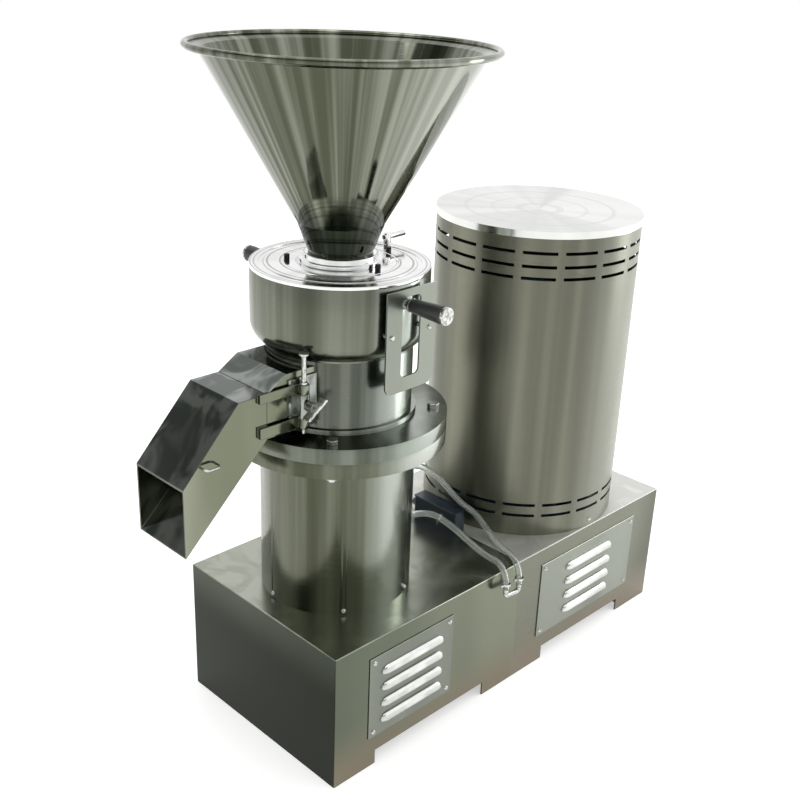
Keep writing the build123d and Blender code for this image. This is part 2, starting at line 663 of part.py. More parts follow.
slinger_top = rotor_bottom
slinger_bottom = floor_z + SLINGER_FLOOR_GAP
with BuildPart() as slinger:
    with BuildSketch(level(mill_x, 0, slinger_bottom)):
        Circle(SLINGER_HUB)
    extrude(amount=slinger_top - slinger_bottom)
    with BuildSketch(level(mill_x, 0, slinger_bottom)):
        with PolarLocations((SLINGER_HUB - BLADE_ROOT + SLINGER_REACH) / 2, SLINGER_BLADES, start_angle=45):
            Rectangle(SLINGER_REACH - SLINGER_HUB + BLADE_ROOT, SLINGER_BLADE)
    extrude(amount=(slinger_top - slinger_bottom) / 2)
    with BuildSketch(level(mill_x, 0, slinger_bottom)):
        Circle(SPINDLE_RADIUS)
    extrude(amount=slinger_top - slinger_bottom, mode=Mode.SUBTRACT)
save(slinger, "slinger")


def tooth_cutters(bottom, radius, height, inwards):
    """Slanted bars laid on the grinding cone, one for each tooth gap."""
    lean = -ROTOR_TAPER * height
    length = hypot(height, lean) + TOOTH_OVERRUN
    tilt = Vector(lean, 0, height).normalized()
    bars = []
    for i in range(ROTOR_TEETH):
        turn = 360 * i / ROTOR_TEETH
        middle = radius + lean / 2
        bar = Box(2 * TOOTH_DEPTH, TOOTH_WIDTH, length, mode=Mode.PRIVATE)
        slant = TOOTH_SLANT if inwards else -TOOTH_SLANT
        place = Location((mill_x, 0, bottom + height / 2), (0, 0, turn)) * Location((middle, 0, 0))
        place = place * Location((0, 0, 0), (0, Vector(0, 0, 1).get_angle(tilt) * -1, 0))
        place = place * Location((0, 0, 0), (slant, 0, 0))
        bars.append(bar.moved(place))
    return bars


with BuildPart() as rotor:
    with BuildSketch(mill_section):
        Polygon((STUD_RADIUS, rotor_bottom), (ROTOR_BOTTOM_RADIUS, rotor_bottom),
                (rotor_top_radius, rotor_top), (STUD_RADIUS, rotor_top), align=None)
    revolve(axis=mill_axis)
    add(tooth_cutters(rotor_bottom, ROTOR_BOTTOM_RADIUS, ROTOR_HEIGHT, False), mode=Mode.SUBTRACT)
save(rotor, "rotor")

with BuildPart() as feed_screw:
    with BuildSketch(mill_section):
        Polygon((0, rotor_top), (FEED_HUB_RADIUS, rotor_top), (FEED_HUB_RADIUS, rotor_top + FEED_BLADE_HEIGHT),
                (FEED_HUB_RADIUS / 2, rotor_top + FEED_HUB_HEIGHT), (0, rotor_top + FEED_HUB_HEIGHT), align=None)
    revolve(axis=mill_axis)
    with BuildSketch(level(mill_x, 0, rotor_top)):
        with PolarLocations((FEED_HUB_RADIUS - BLADE_ROOT + FEED_BLADE_RADIUS) / 2, FEED_BLADE_COUNT):
            Rectangle(FEED_BLADE_RADIUS - FEED_HUB_RADIUS + BLADE_ROOT, FEED_BLADE)
    extrude(amount=FEED_BLADE_HEIGHT)
save(feed_screw, "feed_screw")


def pulley(x, radius, shaft_radius):
    """Grooved belt pulley with a web and hub, fixed on its shaft."""
    groove_depth = BELT_THICKNESS - BELT_PROUD + BELT_CLEARANCE
    groove_width = BELT_WIDTH + 2 * BELT_CLEARANCE
    section = Plane(origin=(x, 0, 0), x_dir=(1, 0, 0), z_dir=(0, -1, 0))
    levels = [BELT_LEVEL + (i - (PULLEY_GROOVES - 1) / 2) * GROOVE_PITCH for i in range(PULLEY_GROOVES)]
    with BuildPart() as wheel:
        with BuildSketch(section):
            Polygon((shaft_radius, pulley_bottom), (radius, pulley_bottom), (radius, pulley_top),
                    (shaft_radius, pulley_top), align=None)
            for z in levels:
                with Locations((radius - groove_depth / 2, z)):
                    Rectangle(groove_depth, groove_width, mode=Mode.SUBTRACT)
        revolve(axis=Axis((x, 0, 0), (0, 0, 1)))
    return wheel


save(pulley(mill_x, SPINDLE_PULLEY_RADIUS, SPINDLE_RADIUS), "spindle_pulley")
save(pulley(motor_x, MOTOR_PULLEY_RADIUS, MOTOR_SHAFT_RADIUS), "motor_pulley")

with BuildPart() as v_belts:
    for i in range(PULLEY_GROOVES):
        z = BELT_LEVEL + (i - (PULLEY_GROOVES - 1) / 2) * GROOVE_PITCH - BELT_WIDTH / 2
        with BuildSketch(level(0, 0, z)):
            with BuildSketch(mode=Mode.PRIVATE) as outer:
                with Locations((mill_x, 0)):
                    Circle(SPINDLE_PULLEY_RADIUS + BELT_PROUD)
                with Locations((motor_x, 0)):
                    Circle(MOTOR_PULLEY_RADIUS + BELT_PROUD)
                make_hull()
            with BuildSketch(mode=Mode.PRIVATE) as inner:
                with Locations((mill_x, 0)):
                    Circle(SPINDLE_PULLEY_RADIUS + BELT_PROUD - BELT_THICKNESS)
                with Locations((motor_x, 0)):
                    Circle(MOTOR_PULLEY_RADIUS + BELT_PROUD - BELT_THICKNESS)
                make_hull()
            add(outer.sketch)
            add(inner.sketch, mode=Mode.SUBTRACT)
        extrude(amount=BELT_WIDTH)
save(v_belts, "v_belts")

# Stator ring and the holder that carries it down into the body
holder_bottom = rotor_bottom + STATOR_BELOW
holder_shoulder = NECK_TOP + HOLDER_LIFT
stator_top = rotor_top + STATOR_ABOVE
flange_seat = holder_shoulder + SEAT_GAP
lid_seat = DRUM_TOP - LID_SPIGOT
stator_bottom_radius = ROTOR_BOTTOM_RADIUS - ROTOR_TAPER * STATOR_BELOW + GRINDING_GAP
stator_top_radius = ROTOR_BOTTOM_RADIUS - ROTOR_TAPER * (stator_top - rotor_bottom) + GRINDING_GAP
with BuildPart() as stator:
    with BuildSketch(mill_section):
        Polygon((stator_bottom_radius, holder_bottom), (STATOR_RADIUS, holder_bottom),
                (STATOR_RADIUS, stator_top), (stator_top_radius, stator_top), align=None)
    revolve(axis=mill_axis)
    add(tooth_cutters(rotor_bottom, ROTOR_BOTTOM_RADIUS + GRINDING_GAP, ROTOR_HEIGHT, True), mode=Mode.SUBTRACT)
save(stator, "stator")

with BuildPart() as stator_holder:
    with BuildSketch(mill_section):
        Polygon((STATOR_RADIUS, holder_bottom), (CHAMBER_RADIUS - SEAT_GAP, holder_bottom),
                (CHAMBER_RADIUS - SEAT_GAP, flange_seat), (HOLDER_FLANGE_RADIUS, flange_seat),
                (HOLDER_FLANGE_RADIUS, lid_seat), (FEED_BORE, lid_seat), (FEED_BORE, stator_top),
                (STATOR_RADIUS, stator_top), align=None)
    revolve(axis=mill_axis)
save(stator_holder, "stator_holder")

# Turning drum: threaded on the body's neck, with a rounded lower edge
handle_seats = [radial(mill_x, HANDLE_AZIMUTH + turn, DRUM_RADIUS, HANDLE_LEVEL) for turn in (0, 180)]
guard_face = radial(mill_x, HANDLE_AZIMUTH, DRUM_RADIUS + GUARD_STANDOFF, 0)
thread_start = NECK_BOTTOM + NECK_THREAD_RELIEF
guard_screw_xs = (GUARD_OFFSET - GUARD_SCREW_SPREAD, GUARD_OFFSET + GUARD_SCREW_SPREAD)
with BuildPart() as adjusting_drum:
    with BuildSketch(mill_section):
        with BuildLine():
            Polyline((DRUM_CAVITY, DRUM_TOP), (DRUM_RADIUS, DRUM_TOP), (DRUM_RADIUS, DRUM_WALL_BOTTOM))
            low = (BODY_RADIUS + SEAT_GAP + DRUM_LIP, DRUM_BOTTOM + DRUM_LIP)
            bulge = (DRUM_RADIUS - 2 * DRUM_LIP, (DRUM_BOTTOM + DRUM_WALL_BOTTOM) / 2 - DRUM_LIP)
            ThreePointArc((DRUM_RADIUS, DRUM_WALL_BOTTOM), bulge, low)
            Polyline(low, (low[0], DRUM_BOTTOM), (BODY_RADIUS + SEAT_GAP, DRUM_BOTTOM),
                     (BODY_RADIUS + SEAT_GAP, thread_start), (NECK_RADIUS + RUN_CLEARANCE, thread_start),
                     (NECK_RADIUS + RUN_CLEARANCE, holder_shoulder), (DRUM_CAVITY, holder_shoulder),
                     (DRUM_CAVITY, DRUM_TOP))
        make_face()
    revolve(axis=mill_axis)
    for seat in handle_seats:
        with BuildSketch(seat.offset(EDGE_BREAK)):
            Circle(HANDLE_SPIGOT + RUN_CLEARANCE)
        extrude(amount=-(HANDLE_SPIGOT_DEPTH + 2 * EDGE_BREAK), mode=Mode.SUBTRACT)
save(adjusting_drum, "adjusting_drum")

lid_top = DRUM_TOP + SEAT_GAP + LID_RIM
lid_spigot_radius = DRUM_CAVITY - LID_SPIGOT_GAP
with BuildPart() as lid:
    with BuildSketch(mill_section):
        Polygon((FEED_BORE, lid_seat), (lid_spigot_radius, lid_seat),
                (lid_spigot_radius, DRUM_TOP + SEAT_GAP), (DRUM_RADIUS, DRUM_TOP + SEAT_GAP),
                (DRUM_RADIUS, lid_top), (GROOVE_OUTER, lid_top), (GROOVE_OUTER, lid_top - GROOVE_DEPTH),
                (GROOVE_STEP, lid_top - GROOVE_DEPTH), (GROOVE_STEP, lid_top),
                (GROOVE_INNER + GROOVE_WIDTH, lid_top), (GROOVE_INNER + GROOVE_WIDTH / 2, lid_top - GROOVE_DEPTH),
                (GROOVE_INNER, lid_top), (FEED_BORE, lid_top), align=None)
    revolve(axis=mill_axis)
    for reach, azimuth in LID_BOLTS:
        spot = level(mill_x + reach * cos(radians(azimuth)), reach * sin(radians(azimuth)), lid_seat)
        with BuildSketch(spot):
            Circle(LID_BOLT_RADIUS / 2)
        extrude(amount=lid_top - lid_seat, mode=Mode.SUBTRACT)
save(lid, "lid")

collar_top = lid_top + COLLAR_HEIGHT
collar_bore = SPIGOT_RADIUS + SEAT_GAP
with BuildPart() as collar:
    with BuildSketch(mill_section):
        Polygon((FEED_BORE, lid_top), (COLLAR_RADIUS, lid_top), (COLLAR_RADIUS, lid_top + COLLAR_STEP),
                (COLLAR_STEP_RADIUS, lid_top + COLLAR_STEP), (COLLAR_STEP_RADIUS, collar_top),
                (collar_bore, collar_top), (collar_bore, lid_top + COLLAR_FLOOR),
                (FEED_BORE, lid_top + COLLAR_FLOOR), align=None)
    revolve(axis=mill_axis)
    chamfer(collar.edges().group_by(Axis.Z)[-1].sort_by(SortBy.LENGTH)[-1], EDGE_BREAK)
save(collar, "collar")

with BuildPart() as lid_bolts:
    for reach, azimuth in LID_BOLTS:
        spot_x = mill_x + reach * cos(radians(azimuth))
        spot_y = reach * sin(radians(azimuth))
        with BuildSketch(level(spot_x, spot_y, lid_top)):
            RegularPolygon(LID_BOLT_RADIUS, 6)
        extrude(amount=LID_BOLT_HEIGHT)
        with BuildSketch(level(spot_x, spot_y, lid_seat)):
            Circle(LID_BOLT_RADIUS / 2)
        extrude(amount=lid_top - lid_seat)
save(lid_bolts, "lid_bolts")

# Water nozzle that stands on the lid behind the hopper's neck
nozzle_start = radial(mill_x, LID_NOZZLE_AZIMUTH, LID_NOZZLE_START, lid_top + LID_NOZZLE_HEIGHT)
with BuildPart() as lid_nozzle:
    with BuildSketch(nozzle_start):
        Circle(NOZZLE_TIP_RADIUS)
    extrude(amount=LID_NOZZLE_REACH - LID_NOZZLE_START)
    foot = radial(mill_x, LID_NOZZLE_AZIMUTH, LID_NOZZLE_START + LID_NOZZLE_FOOT, lid_top)
    with BuildSketch(level(foot.origin.X, foot.origin.Y, lid_top)):
        Circle(NOZZLE_TIP_RADIUS + NOZZLE_WALL)
    extrude(amount=LID_NOZZLE_HEIGHT + NOZZLE_TIP_RADIUS + NOZZLE_WALL)
    with BuildSketch(nozzle_start):
        Circle(NOZZLE_TIP_RADIUS - NOZZLE_WALL)
    extrude(amount=LID_NOZZLE_REACH - LID_NOZZLE_START, mode=Mode.SUBTRACT)
save(lid_nozzle, "lid_nozzle")

# Hopper with neck, cone and rolled rim
bead_x = RIM_RADIUS - RIM_BEAD
bead_z = RIM_TOP - RIM_BEAD
spigot_bottom = lid_top + COLLAR_FLOOR + SEAT_GAP
spigot_top = collar_top + EDGE_BREAK
cone_slope = atan2(CONE_TOP_RADIUS - THROAT_RADIUS, CONE_TOP_HEIGHT - THROAT_HEIGHT)
cone_step = HOPPER_SHEET / cos(cone_slope)
with BuildPart() as hopper:
    with BuildSketch(mill_section):
        Polygon((SPIGOT_RADIUS - HOPPER_SHEET, spigot_bottom), (SPIGOT_RADIUS, spigot_bottom),
                (SPIGOT_RADIUS, spigot_top), (NECK_END_RADIUS, NECK_END_HEIGHT),
                (THROAT_RADIUS, THROAT_HEIGHT), (CONE_TOP_RADIUS, CONE_TOP_HEIGHT),
                (bead_x, bead_z - HOPPER_SHEET / 2), (bead_x, bead_z + HOPPER_SHEET / 2),
                (CONE_TOP_RADIUS - cone_step, CONE_TOP_HEIGHT + cone_step),
                (THROAT_RADIUS - cone_step, THROAT_HEIGHT), (NECK_END_RADIUS - cone_step, NECK_END_HEIGHT),
                (SPIGOT_RADIUS - HOPPER_SHEET, spigot_top), align=None)
        with Locations((bead_x, bead_z)):
            Circle(RIM_BEAD)
    revolve(axis=mill_axis)
save(hopper, "hopper")

# Guard plate with its window, and the shoulder screws that hold it off the drum
with BuildPart() as guard_plate:
    with BuildSketch(guard_face):
        with Locations((GUARD_OFFSET, (GUARD_BOTTOM + GUARD_TOP) / 2)):
            Rectangle(GUARD_WIDTH, GUARD_TOP - GUARD_BOTTOM)
        with Locations((GUARD_OFFSET, (WINDOW_BOTTOM + WINDOW_TOP) / 2)):
            RectangleRounded(WINDOW_WIDTH, WINDOW_TOP - WINDOW_BOTTOM, WINDOW_CORNER, mode=Mode.SUBTRACT)
        for x in guard_screw_xs:
            with Locations((x, GUARD_SCREW_LEVEL)):
                Circle(SCREW_HOLE_RADIUS, mode=Mode.SUBTRACT)
    extrude(amount=GUARD_SHEET)
    across = Axis(guard_face.origin, guard_face.z_dir)
    corners = guard_plate.edges().filter_by(across).group_by(Axis.Z)[0]
    fillet(list(corners), GUARD_CORNER)
save(guard_plate, "guard_plate")

with BuildPart() as guard_screws:
    for x in guard_screw_xs:
        with BuildSketch(guard_face.offset(GUARD_SHEET)):
            with Locations((x, GUARD_SCREW_LEVEL)):
                Circle(SCREW_HEAD_RADIUS)
        extrude(amount=SCREW_HEAD_HEIGHT, taper=25)
        with BuildSketch(guard_face.offset(GUARD_SHEET)):
            with Locations((x, GUARD_SCREW_LEVEL)):
                Circle(SCREW_SHANK_RADIUS)
        extrude(amount=-GUARD_SHEET)
        with BuildSketch(guard_face):
            with Locations((x, GUARD_SCREW_LEVEL)):
                Circle(SCREW_HEAD_RADIUS)
        extrude(amount=-(GUARD_STANDOFF + DRUM_RADIUS / 4))
    with BuildSketch(level(mill_x, 0, GUARD_SCREW_LEVEL - 2 * SCREW_HEAD_RADIUS)):
        Circle(DRUM_RADIUS)
    extrude(amount=4 * SCREW_HEAD_RADIUS, mode=Mode.SUBTRACT)
save(guard_screws, "guard_screws")

# Locking handles: a threaded rod with a ring and end cap, and a tapered grip on it
grip_start = GUARD_STANDOFF + GUARD_SHEET + HANDLE_RING_GAP + HANDLE_RING
grip_end = grip_start + GRIP_LENGTH


def handle_rod(seat):
    """Rod screwed into the drum, with a ring before the grip and a cap behind it."""
    steps = [(-HANDLE_SPIGOT_DEPTH, HANDLE_SHANK_GAP, HANDLE_SPIGOT),
             (HANDLE_SHANK_GAP, grip_start, HANDLE_SHANK_RADIUS),
             (grip_start - HANDLE_RING, grip_start, HANDLE_RING_RADIUS),
             (grip_start, grip_end, HANDLE_CORE_RADIUS),
             (grip_end, grip_end + CAP_THICKNESS, GRIP_OUTER_RADIUS)]
    with BuildPart() as rod:
        for begin, end, radius in steps:
            with BuildSketch(seat.offset(begin)):
                Circle(radius)
            extrude(amount=end - begin)
        fillet(rod.edges().filter_by(GeomType.CIRCLE).sort_by(Axis(seat.origin, seat.z_dir))[-1], GRIP_LEAD_IN)
    return rod


def handle_grip(seat):
    """Tapered moulded grip with a bore for the rod."""
    section = Plane(origin=seat.origin, x_dir=seat.z_dir, z_dir=seat.x_dir)
    with BuildPart() as grip:
        with BuildSketch(section):
            Polygon((grip_start, HANDLE_CORE_RADIUS), (grip_end, HANDLE_CORE_RADIUS),
                    (grip_end, GRIP_OUTER_RADIUS - EDGE_BREAK), (grip_end - GRIP_LEAD_OUT, GRIP_OUTER_RADIUS),
                    (grip_start + GRIP_LEAD_IN, GRIP_INNER_RADIUS + EDGE_BREAK),
                    (grip_start, GRIP_INNER_RADIUS), align=None)
        revolve(axis=Axis(seat.origin, seat.z_dir))
    return grip


for side, seat in zip(("front", "rear"), handle_seats):
    save(handle_rod(seat), "handle_rod_" + side)
    save(handle_grip(seat), "handle_grip_" + side)

# Outlet stub welded to the body
duct_half = DUCT_WIDTH / 2
stub_end = -JOINT_REACH
joint_slope = (STUB_TOP - CHUTE_TOP) / (JOINT_REACH - STUB_SLOPE_START)


def duct(profile, wall, cutter):
    """Sheet duct across the mill's width: a solid profile less its open inside."""
    with BuildPart() as box:
        with BuildSketch(mill_section):
            Polygon(*profile, align=None)
        extrude(amount=duct_half, both=True)
        with BuildSketch(mill_section):
            Polygon(*cutter, align=None)
        extrude(amount=duct_half - wall, both=True, mode=Mode.SUBTRACT)
    return box


stub_profile = ((-STUB_START, STUB_BOTTOM), (stub_end, STUB_BOTTOM), (stub_end, CHUTE_TOP),
                (-STUB_SLOPE_START, STUB_TOP), (-STUB_START, STUB_TOP))
stub_bend = -STUB_SLOPE_START - DUCT_SHEET * tan(atan2(joint_slope, 1) / 2)
stub_inside = ((-STUB_START + CUT_OVERRUN, STUB_BOTTOM + DUCT_SHEET),
               (stub_end - CUT_OVERRUN, STUB_BOTTOM + DUCT_SHEET),
               (stub_end - CUT_OVERRUN, STUB_TOP - DUCT_SHEET + (stub_end - CUT_OVERRUN - stub_bend) * joint_slope),
               (stub_bend, STUB_TOP - DUCT_SHEET), (-STUB_START + CUT_OVERRUN, STUB_TOP - DUCT_SHEET))
with BuildPart() as outlet_stub:
    add(duct(stub_profile, DUCT_SHEET, stub_inside).part)
    with BuildSketch(level(mill_x, 0, STUB_BOTTOM)):
        Circle(BODY_RADIUS)
    extrude(amount=STUB_TOP - STUB_BOTTOM, mode=Mode.SUBTRACT)
save(outlet_stub, "outlet_stub")

# Hinge plate on the stub's near side with the middle knuckle and the boss for the lock screw
hinge_x = mill_x - HINGE_REACH
hinge_y = -duct_half - CHEEK_SHEET - KNUCKLE_RADIUS
knuckle_bore = HINGE_PIN_RADIUS + HINGE_CLEARANCE
with BuildPart() as hinge_plate:
    with BuildSketch(front(mill_x, -duct_half, 0)):
        with Locations((-(CHEEK_START + CHEEK_END) / 2, (CHEEK_BOTTOM + CHEEK_TOP) / 2)):
            Rectangle(CHEEK_END - CHEEK_START, CHEEK_TOP - CHEEK_BOTTOM)
    extrude(amount=CHEEK_SHEET)
    with BuildSketch(level(hinge_x, hinge_y, KNUCKLE_MID_LOW)):
        Circle(KNUCKLE_RADIUS)
        with Locations((0, KNUCKLE_RADIUS / 2)):
            Rectangle(2 * KNUCKLE_RADIUS, KNUCKLE_RADIUS)
    extrude(amount=KNUCKLE_MID_HIGH - KNUCKLE_MID_LOW)
    with BuildSketch(level(hinge_x, hinge_y, KNUCKLE_LOW)):
        Circle(knuckle_bore)
    extrude(amount=KNUCKLE_HIGH - KNUCKLE_LOW, mode=Mode.SUBTRACT)
    with BuildSketch(front(hinge_x, hinge_y, LOCK_LEVEL)):
        Circle(LOCK_RADIUS + RUN_CLEARANCE)
    extrude(amount=2 * KNUCKLE_RADIUS, mode=Mode.SUBTRACT)
    with BuildSketch(level(mill_x, 0, CHEEK_BOTTOM)):
        Circle(BODY_RADIUS)
    extrude(amount=CHEEK_TOP - CHEEK_BOTTOM, mode=Mode.SUBTRACT)
save(hinge_plate, "hinge_plate")


# Chute: bent sheet duct with a hinge strap and two knuckles
def chute_profile(start, reach, inset):
    """Side outline of the chute between two distances from the mill axis."""
    top_fall = tan(radians(CHUTE_TOP_SLOPE))
    bottom_fall = tan(radians(CHUTE_BOTTOM_SLOPE))
    top = CHUTE_TOP - inset
    bend = CHUTE_BEND - inset * tan(radians(CHUTE_TOP_SLOPE / 2))
    bottom = STUB_BOTTOM + inset
    low_bend = JOINT_REACH + SEAT_GAP - inset * tan(radians(CHUTE_BOTTOM_SLOPE / 2))
    outline = [(-start, top), (-bend, top), (-reach, top - (reach - bend) * top_fall),
               (-reach, bottom - (reach - low_bend) * bottom_fall), (-low_bend, bottom)]
    return outline + [(-start, bottom)] if start < low_bend else outline


strap_back = hinge_y + KNUCKLE_RADIUS - SEAT_GAP
strap_end = mill_x - JOINT_REACH - 2 * KNUCKLE_RADIUS
with BuildPart() as chute:
    add(duct(chute_profile(JOINT_REACH + SEAT_GAP, CHUTE_REACH, 0), DUCT_SHEET,
             chute_profile(JOINT_REACH - CUT_OVERRUN, CHUTE_REACH + CUT_OVERRUN, DUCT_SHEET)).part)
    for low, high in ((KNUCKLE_LOW, KNUCKLE_MID_LOW - SEAT_GAP), (KNUCKLE_MID_HIGH + SEAT_GAP, KNUCKLE_HIGH)):
        with BuildSketch(level(0, 0, low)):
            with Locations((hinge_x, hinge_y)):
                Circle(KNUCKLE_RADIUS - SEAT_GAP)
            with Locations(((hinge_x + strap_end) / 2, strap_back - CHEEK_SHEET / 2)):
                Rectangle(hinge_x - strap_end, CHEEK_SHEET)
            with Locations(((mill_x - JOINT_REACH - SEAT_GAP + strap_end) / 2, (strap_back - duct_half) / 2)):
                Rectangle(2 * KNUCKLE_RADIUS - SEAT_GAP, -duct_half - strap_back)
        extrude(amount=high - low)
        with BuildSketch(level(hinge_x, hinge_y, low)):
            Circle(knuckle_bore)
        extrude(amount=high - low, mode=Mode.SUBTRACT)
save(chute, "chute")

# Wire clip on the chute's near side
with BuildPart() as chute_clip:
    clip_x = mill_x - CLIP_REACH
    with BuildLine():
        wire_route = FilletPolyline((clip_x - CLIP_WIDTH / 2, -duct_half, CLIP_LEVEL),
                                    (clip_x - CLIP_WIDTH / 2, -duct_half - CLIP_DEPTH, CLIP_LEVEL),
                                    (clip_x + CLIP_WIDTH / 2, -duct_half - CLIP_DEPTH, CLIP_LEVEL),
                                    (clip_x + CLIP_WIDTH / 2, -duct_half, CLIP_LEVEL), radius=CLIP_DEPTH / 2)
    with BuildSketch(front(clip_x - CLIP_WIDTH / 2, -duct_half, CLIP_LEVEL)):
        Circle(CLIP_WIRE)
    sweep()
save(chute_clip, "chute_clip")

# Drop pin and the wing screw that locks it
with BuildPart() as chute_pin:
    with BuildSketch(level(hinge_x, hinge_y, PIN_BOTTOM)):
        Circle(HINGE_PIN_RADIUS)
    extrude(amount=PIN_TOP - PIN_BOTTOM)
    with BuildSketch(level(hinge_x, hinge_y, PIN_TOP - PIN_DISC)):
        Circle(PIN_DISC_RADIUS)
    extrude(amount=PIN_DISC)
    with BuildSketch(level(hinge_x, hinge_y, KNUCKLE_HIGH + SEAT_GAP)):
        Circle(PIN_STOP_RADIUS)
    extrude(amount=PIN_DISC)
    chamfer(chute_pin.edges().group_by(Axis.Z)[0], EDGE_BREAK)
save(chute_pin, "chute_pin")

lock_tip = hinge_y - HINGE_PIN_RADIUS - SEAT_GAP
with BuildPart() as lock_screw:
    with BuildSketch(front(hinge_x, lock_tip, LOCK_LEVEL)):
        Circle(LOCK_RADIUS)
    extrude(amount=LOCK_LENGTH)
    with BuildSketch(front(hinge_x, lock_tip - LOCK_LENGTH + WING_HUB_LENGTH, LOCK_LEVEL)):
        Circle(WING_HUB_RADIUS)
    extrude(amount=WING_HUB_LENGTH)
    with BuildSketch(front(hinge_x, lock_tip - LOCK_LENGTH + WING_HUB_LENGTH / 2, LOCK_LEVEL)):
        with Locations(Location((0, 0), WING_ANGLE)):
            SlotOverall(WING_SPAN, WING_THICKNESS)
    extrude(amount=WING_HEIGHT)
    fillet(lock_screw.edges().group_by(Axis.Y)[0].group_by(SortBy.LENGTH)[-1], EDGE_BREAK)
save(lock_screw, "lock_screw")

# Motor: finned frame, wound core, shaft with rotor, end flange and shield, fan and cowl
frame_bottom = BASE_HEIGHT + MOTOR_FLANGE_THICKNESS
frame_top = frame_bottom + MOTOR_FRAME_LENGTH
frame_bore = MOTOR_FRAME_RADIUS - MOTOR_FRAME_WALL
motor_bore = MOTOR_SHAFT_RADIUS + RUN_CLEARANCE
with BuildPart() as motor_frame:
    with BuildSketch(level(motor_x, 0, frame_bottom)):
        Circle(MOTOR_FRAME_RADIUS)
        with PolarLocations(MOTOR_FRAME_RADIUS + (FIN_HEIGHT - FIN_THICKNESS) / 2, FIN_COUNT):
            Rectangle(FIN_HEIGHT + FIN_THICKNESS, FIN_THICKNESS)
        Circle(frame_bore, mode=Mode.SUBTRACT)
    extrude(amount=MOTOR_FRAME_LENGTH)
save(motor_frame, "motor_frame")

core_bottom = frame_bottom + MOTOR_CORE_INSET
core_length = MOTOR_FRAME_LENGTH - 2 * MOTOR_CORE_INSET
with BuildPart() as motor_stator_core:
    with BuildSketch(level(motor_x, 0, core_bottom)):
        Circle(frame_bore)
        Circle(MOTOR_CORE_RADIUS + MOTOR_AIR_GAP, mode=Mode.SUBTRACT)
    extrude(amount=core_length)
save(motor_stator_core, "motor_stator_core")

with BuildPart() as motor_flange:
    with BuildSketch(motor_section):
        Polygon((MOTOR_BEARING_OUTER, BASE_HEIGHT), (MOTOR_FLANGE_RADIUS, BASE_HEIGHT),
                (MOTOR_FLANGE_RADIUS, frame_bottom), (MOTOR_BEARING_OUTER, frame_bottom), align=None)
    revolve(axis=motor_axis)
save(motor_flange, "motor_flange")

shield_top = frame_top + MOTOR_SHIELD
with BuildPart() as motor_end_shield:
    with BuildSketch(motor_section):
        Polygon((MOTOR_BEARING_OUTER, frame_top), (MOTOR_FRAME_RADIUS, frame_top),
                (MOTOR_FRAME_RADIUS, frame_top + MOTOR_SHIELD / 2),
                (MOTOR_BEARING_OUTER + MOTOR_SHIELD_BOSS, shield_top),
                (MOTOR_BEARING_OUTER, shield_top), align=None)
    revolve(axis=motor_axis)
save(motor_end_shield, "motor_end_shield")

with BuildPart() as motor_bearings:
    add(bearing(motor_x, BASE_HEIGHT, motor_bore, MOTOR_BEARING_OUTER, MOTOR_FLANGE_THICKNESS).part)
    add(bearing(motor_x, frame_top, motor_bore, MOTOR_BEARING_OUTER, MOTOR_SHIELD).part)
save(motor_bearings, "motor_bearings")

fan_bottom = shield_top + MOTOR_SHIELD / 2
fan_hub = MOTOR_SHAFT_RADIUS + FAN_HUB
cowl_top = frame_top + COWL_HEIGHT
with BuildPart() as motor_shaft:
    with BuildSketch(level(motor_x, 0, pulley_bottom - SPINDLE_TAIL / 3)):
        Circle(MOTOR_SHAFT_RADIUS)
    extrude(amount=fan_bottom + FAN_HEIGHT / 2 - pulley_bottom + SPINDLE_TAIL / 3)
    with BuildSketch(level(motor_x, 0, core_bottom)):
        Circle(MOTOR_CORE_RADIUS)
    extrude(amount=core_length)
save(motor_shaft, "motor_shaft")

with BuildPart() as motor_fan:
    with BuildSketch(level(motor_x, 0, fan_bottom)):
        Circle(FAN_RADIUS)
        Circle(MOTOR_SHAFT_RADIUS, mode=Mode.SUBTRACT)
    extrude(amount=FAN_DISC)
    with BuildSketch(level(motor_x, 0, fan_bottom)):
        Circle(fan_hub)
        Circle(MOTOR_SHAFT_RADIUS, mode=Mode.SUBTRACT)
    extrude(amount=FAN_HEIGHT / 2)
    with BuildSketch(level(motor_x, 0, fan_bottom)):
        with PolarLocations((FAN_RADIUS + fan_hub) / 2, FAN_BLADES):
            Rectangle(FAN_RADIUS - fan_hub, FAN_BLADE)
    extrude(amount=FAN_HEIGHT)
save(motor_fan, "motor_fan")

with BuildPart() as motor_fan_cowl:
    with BuildSketch(motor_section):
        Polygon((MOTOR_FRAME_RADIUS, frame_top), (MOTOR_FRAME_RADIUS + COWL_SHEET, frame_top),
                (MOTOR_FRAME_RADIUS + COWL_SHEET, cowl_top + COWL_SHEET), (0, cowl_top + COWL_SHEET), (0, cowl_top),
                (MOTOR_FRAME_RADIUS, cowl_top), align=None)
    revolve(axis=motor_axis)
    with BuildSketch(level(motor_x, 0, cowl_top)):
        for reach in COWL_HOLE_ROWS:
            with PolarLocations(reach, int(reach / COWL_HOLE_RADIUS)):
                Circle(COWL_HOLE_RADIUS)
    extrude(amount=COWL_SHEET, mode=Mode.SUBTRACT)
save(motor_fan_cowl, "motor_fan_cowl")

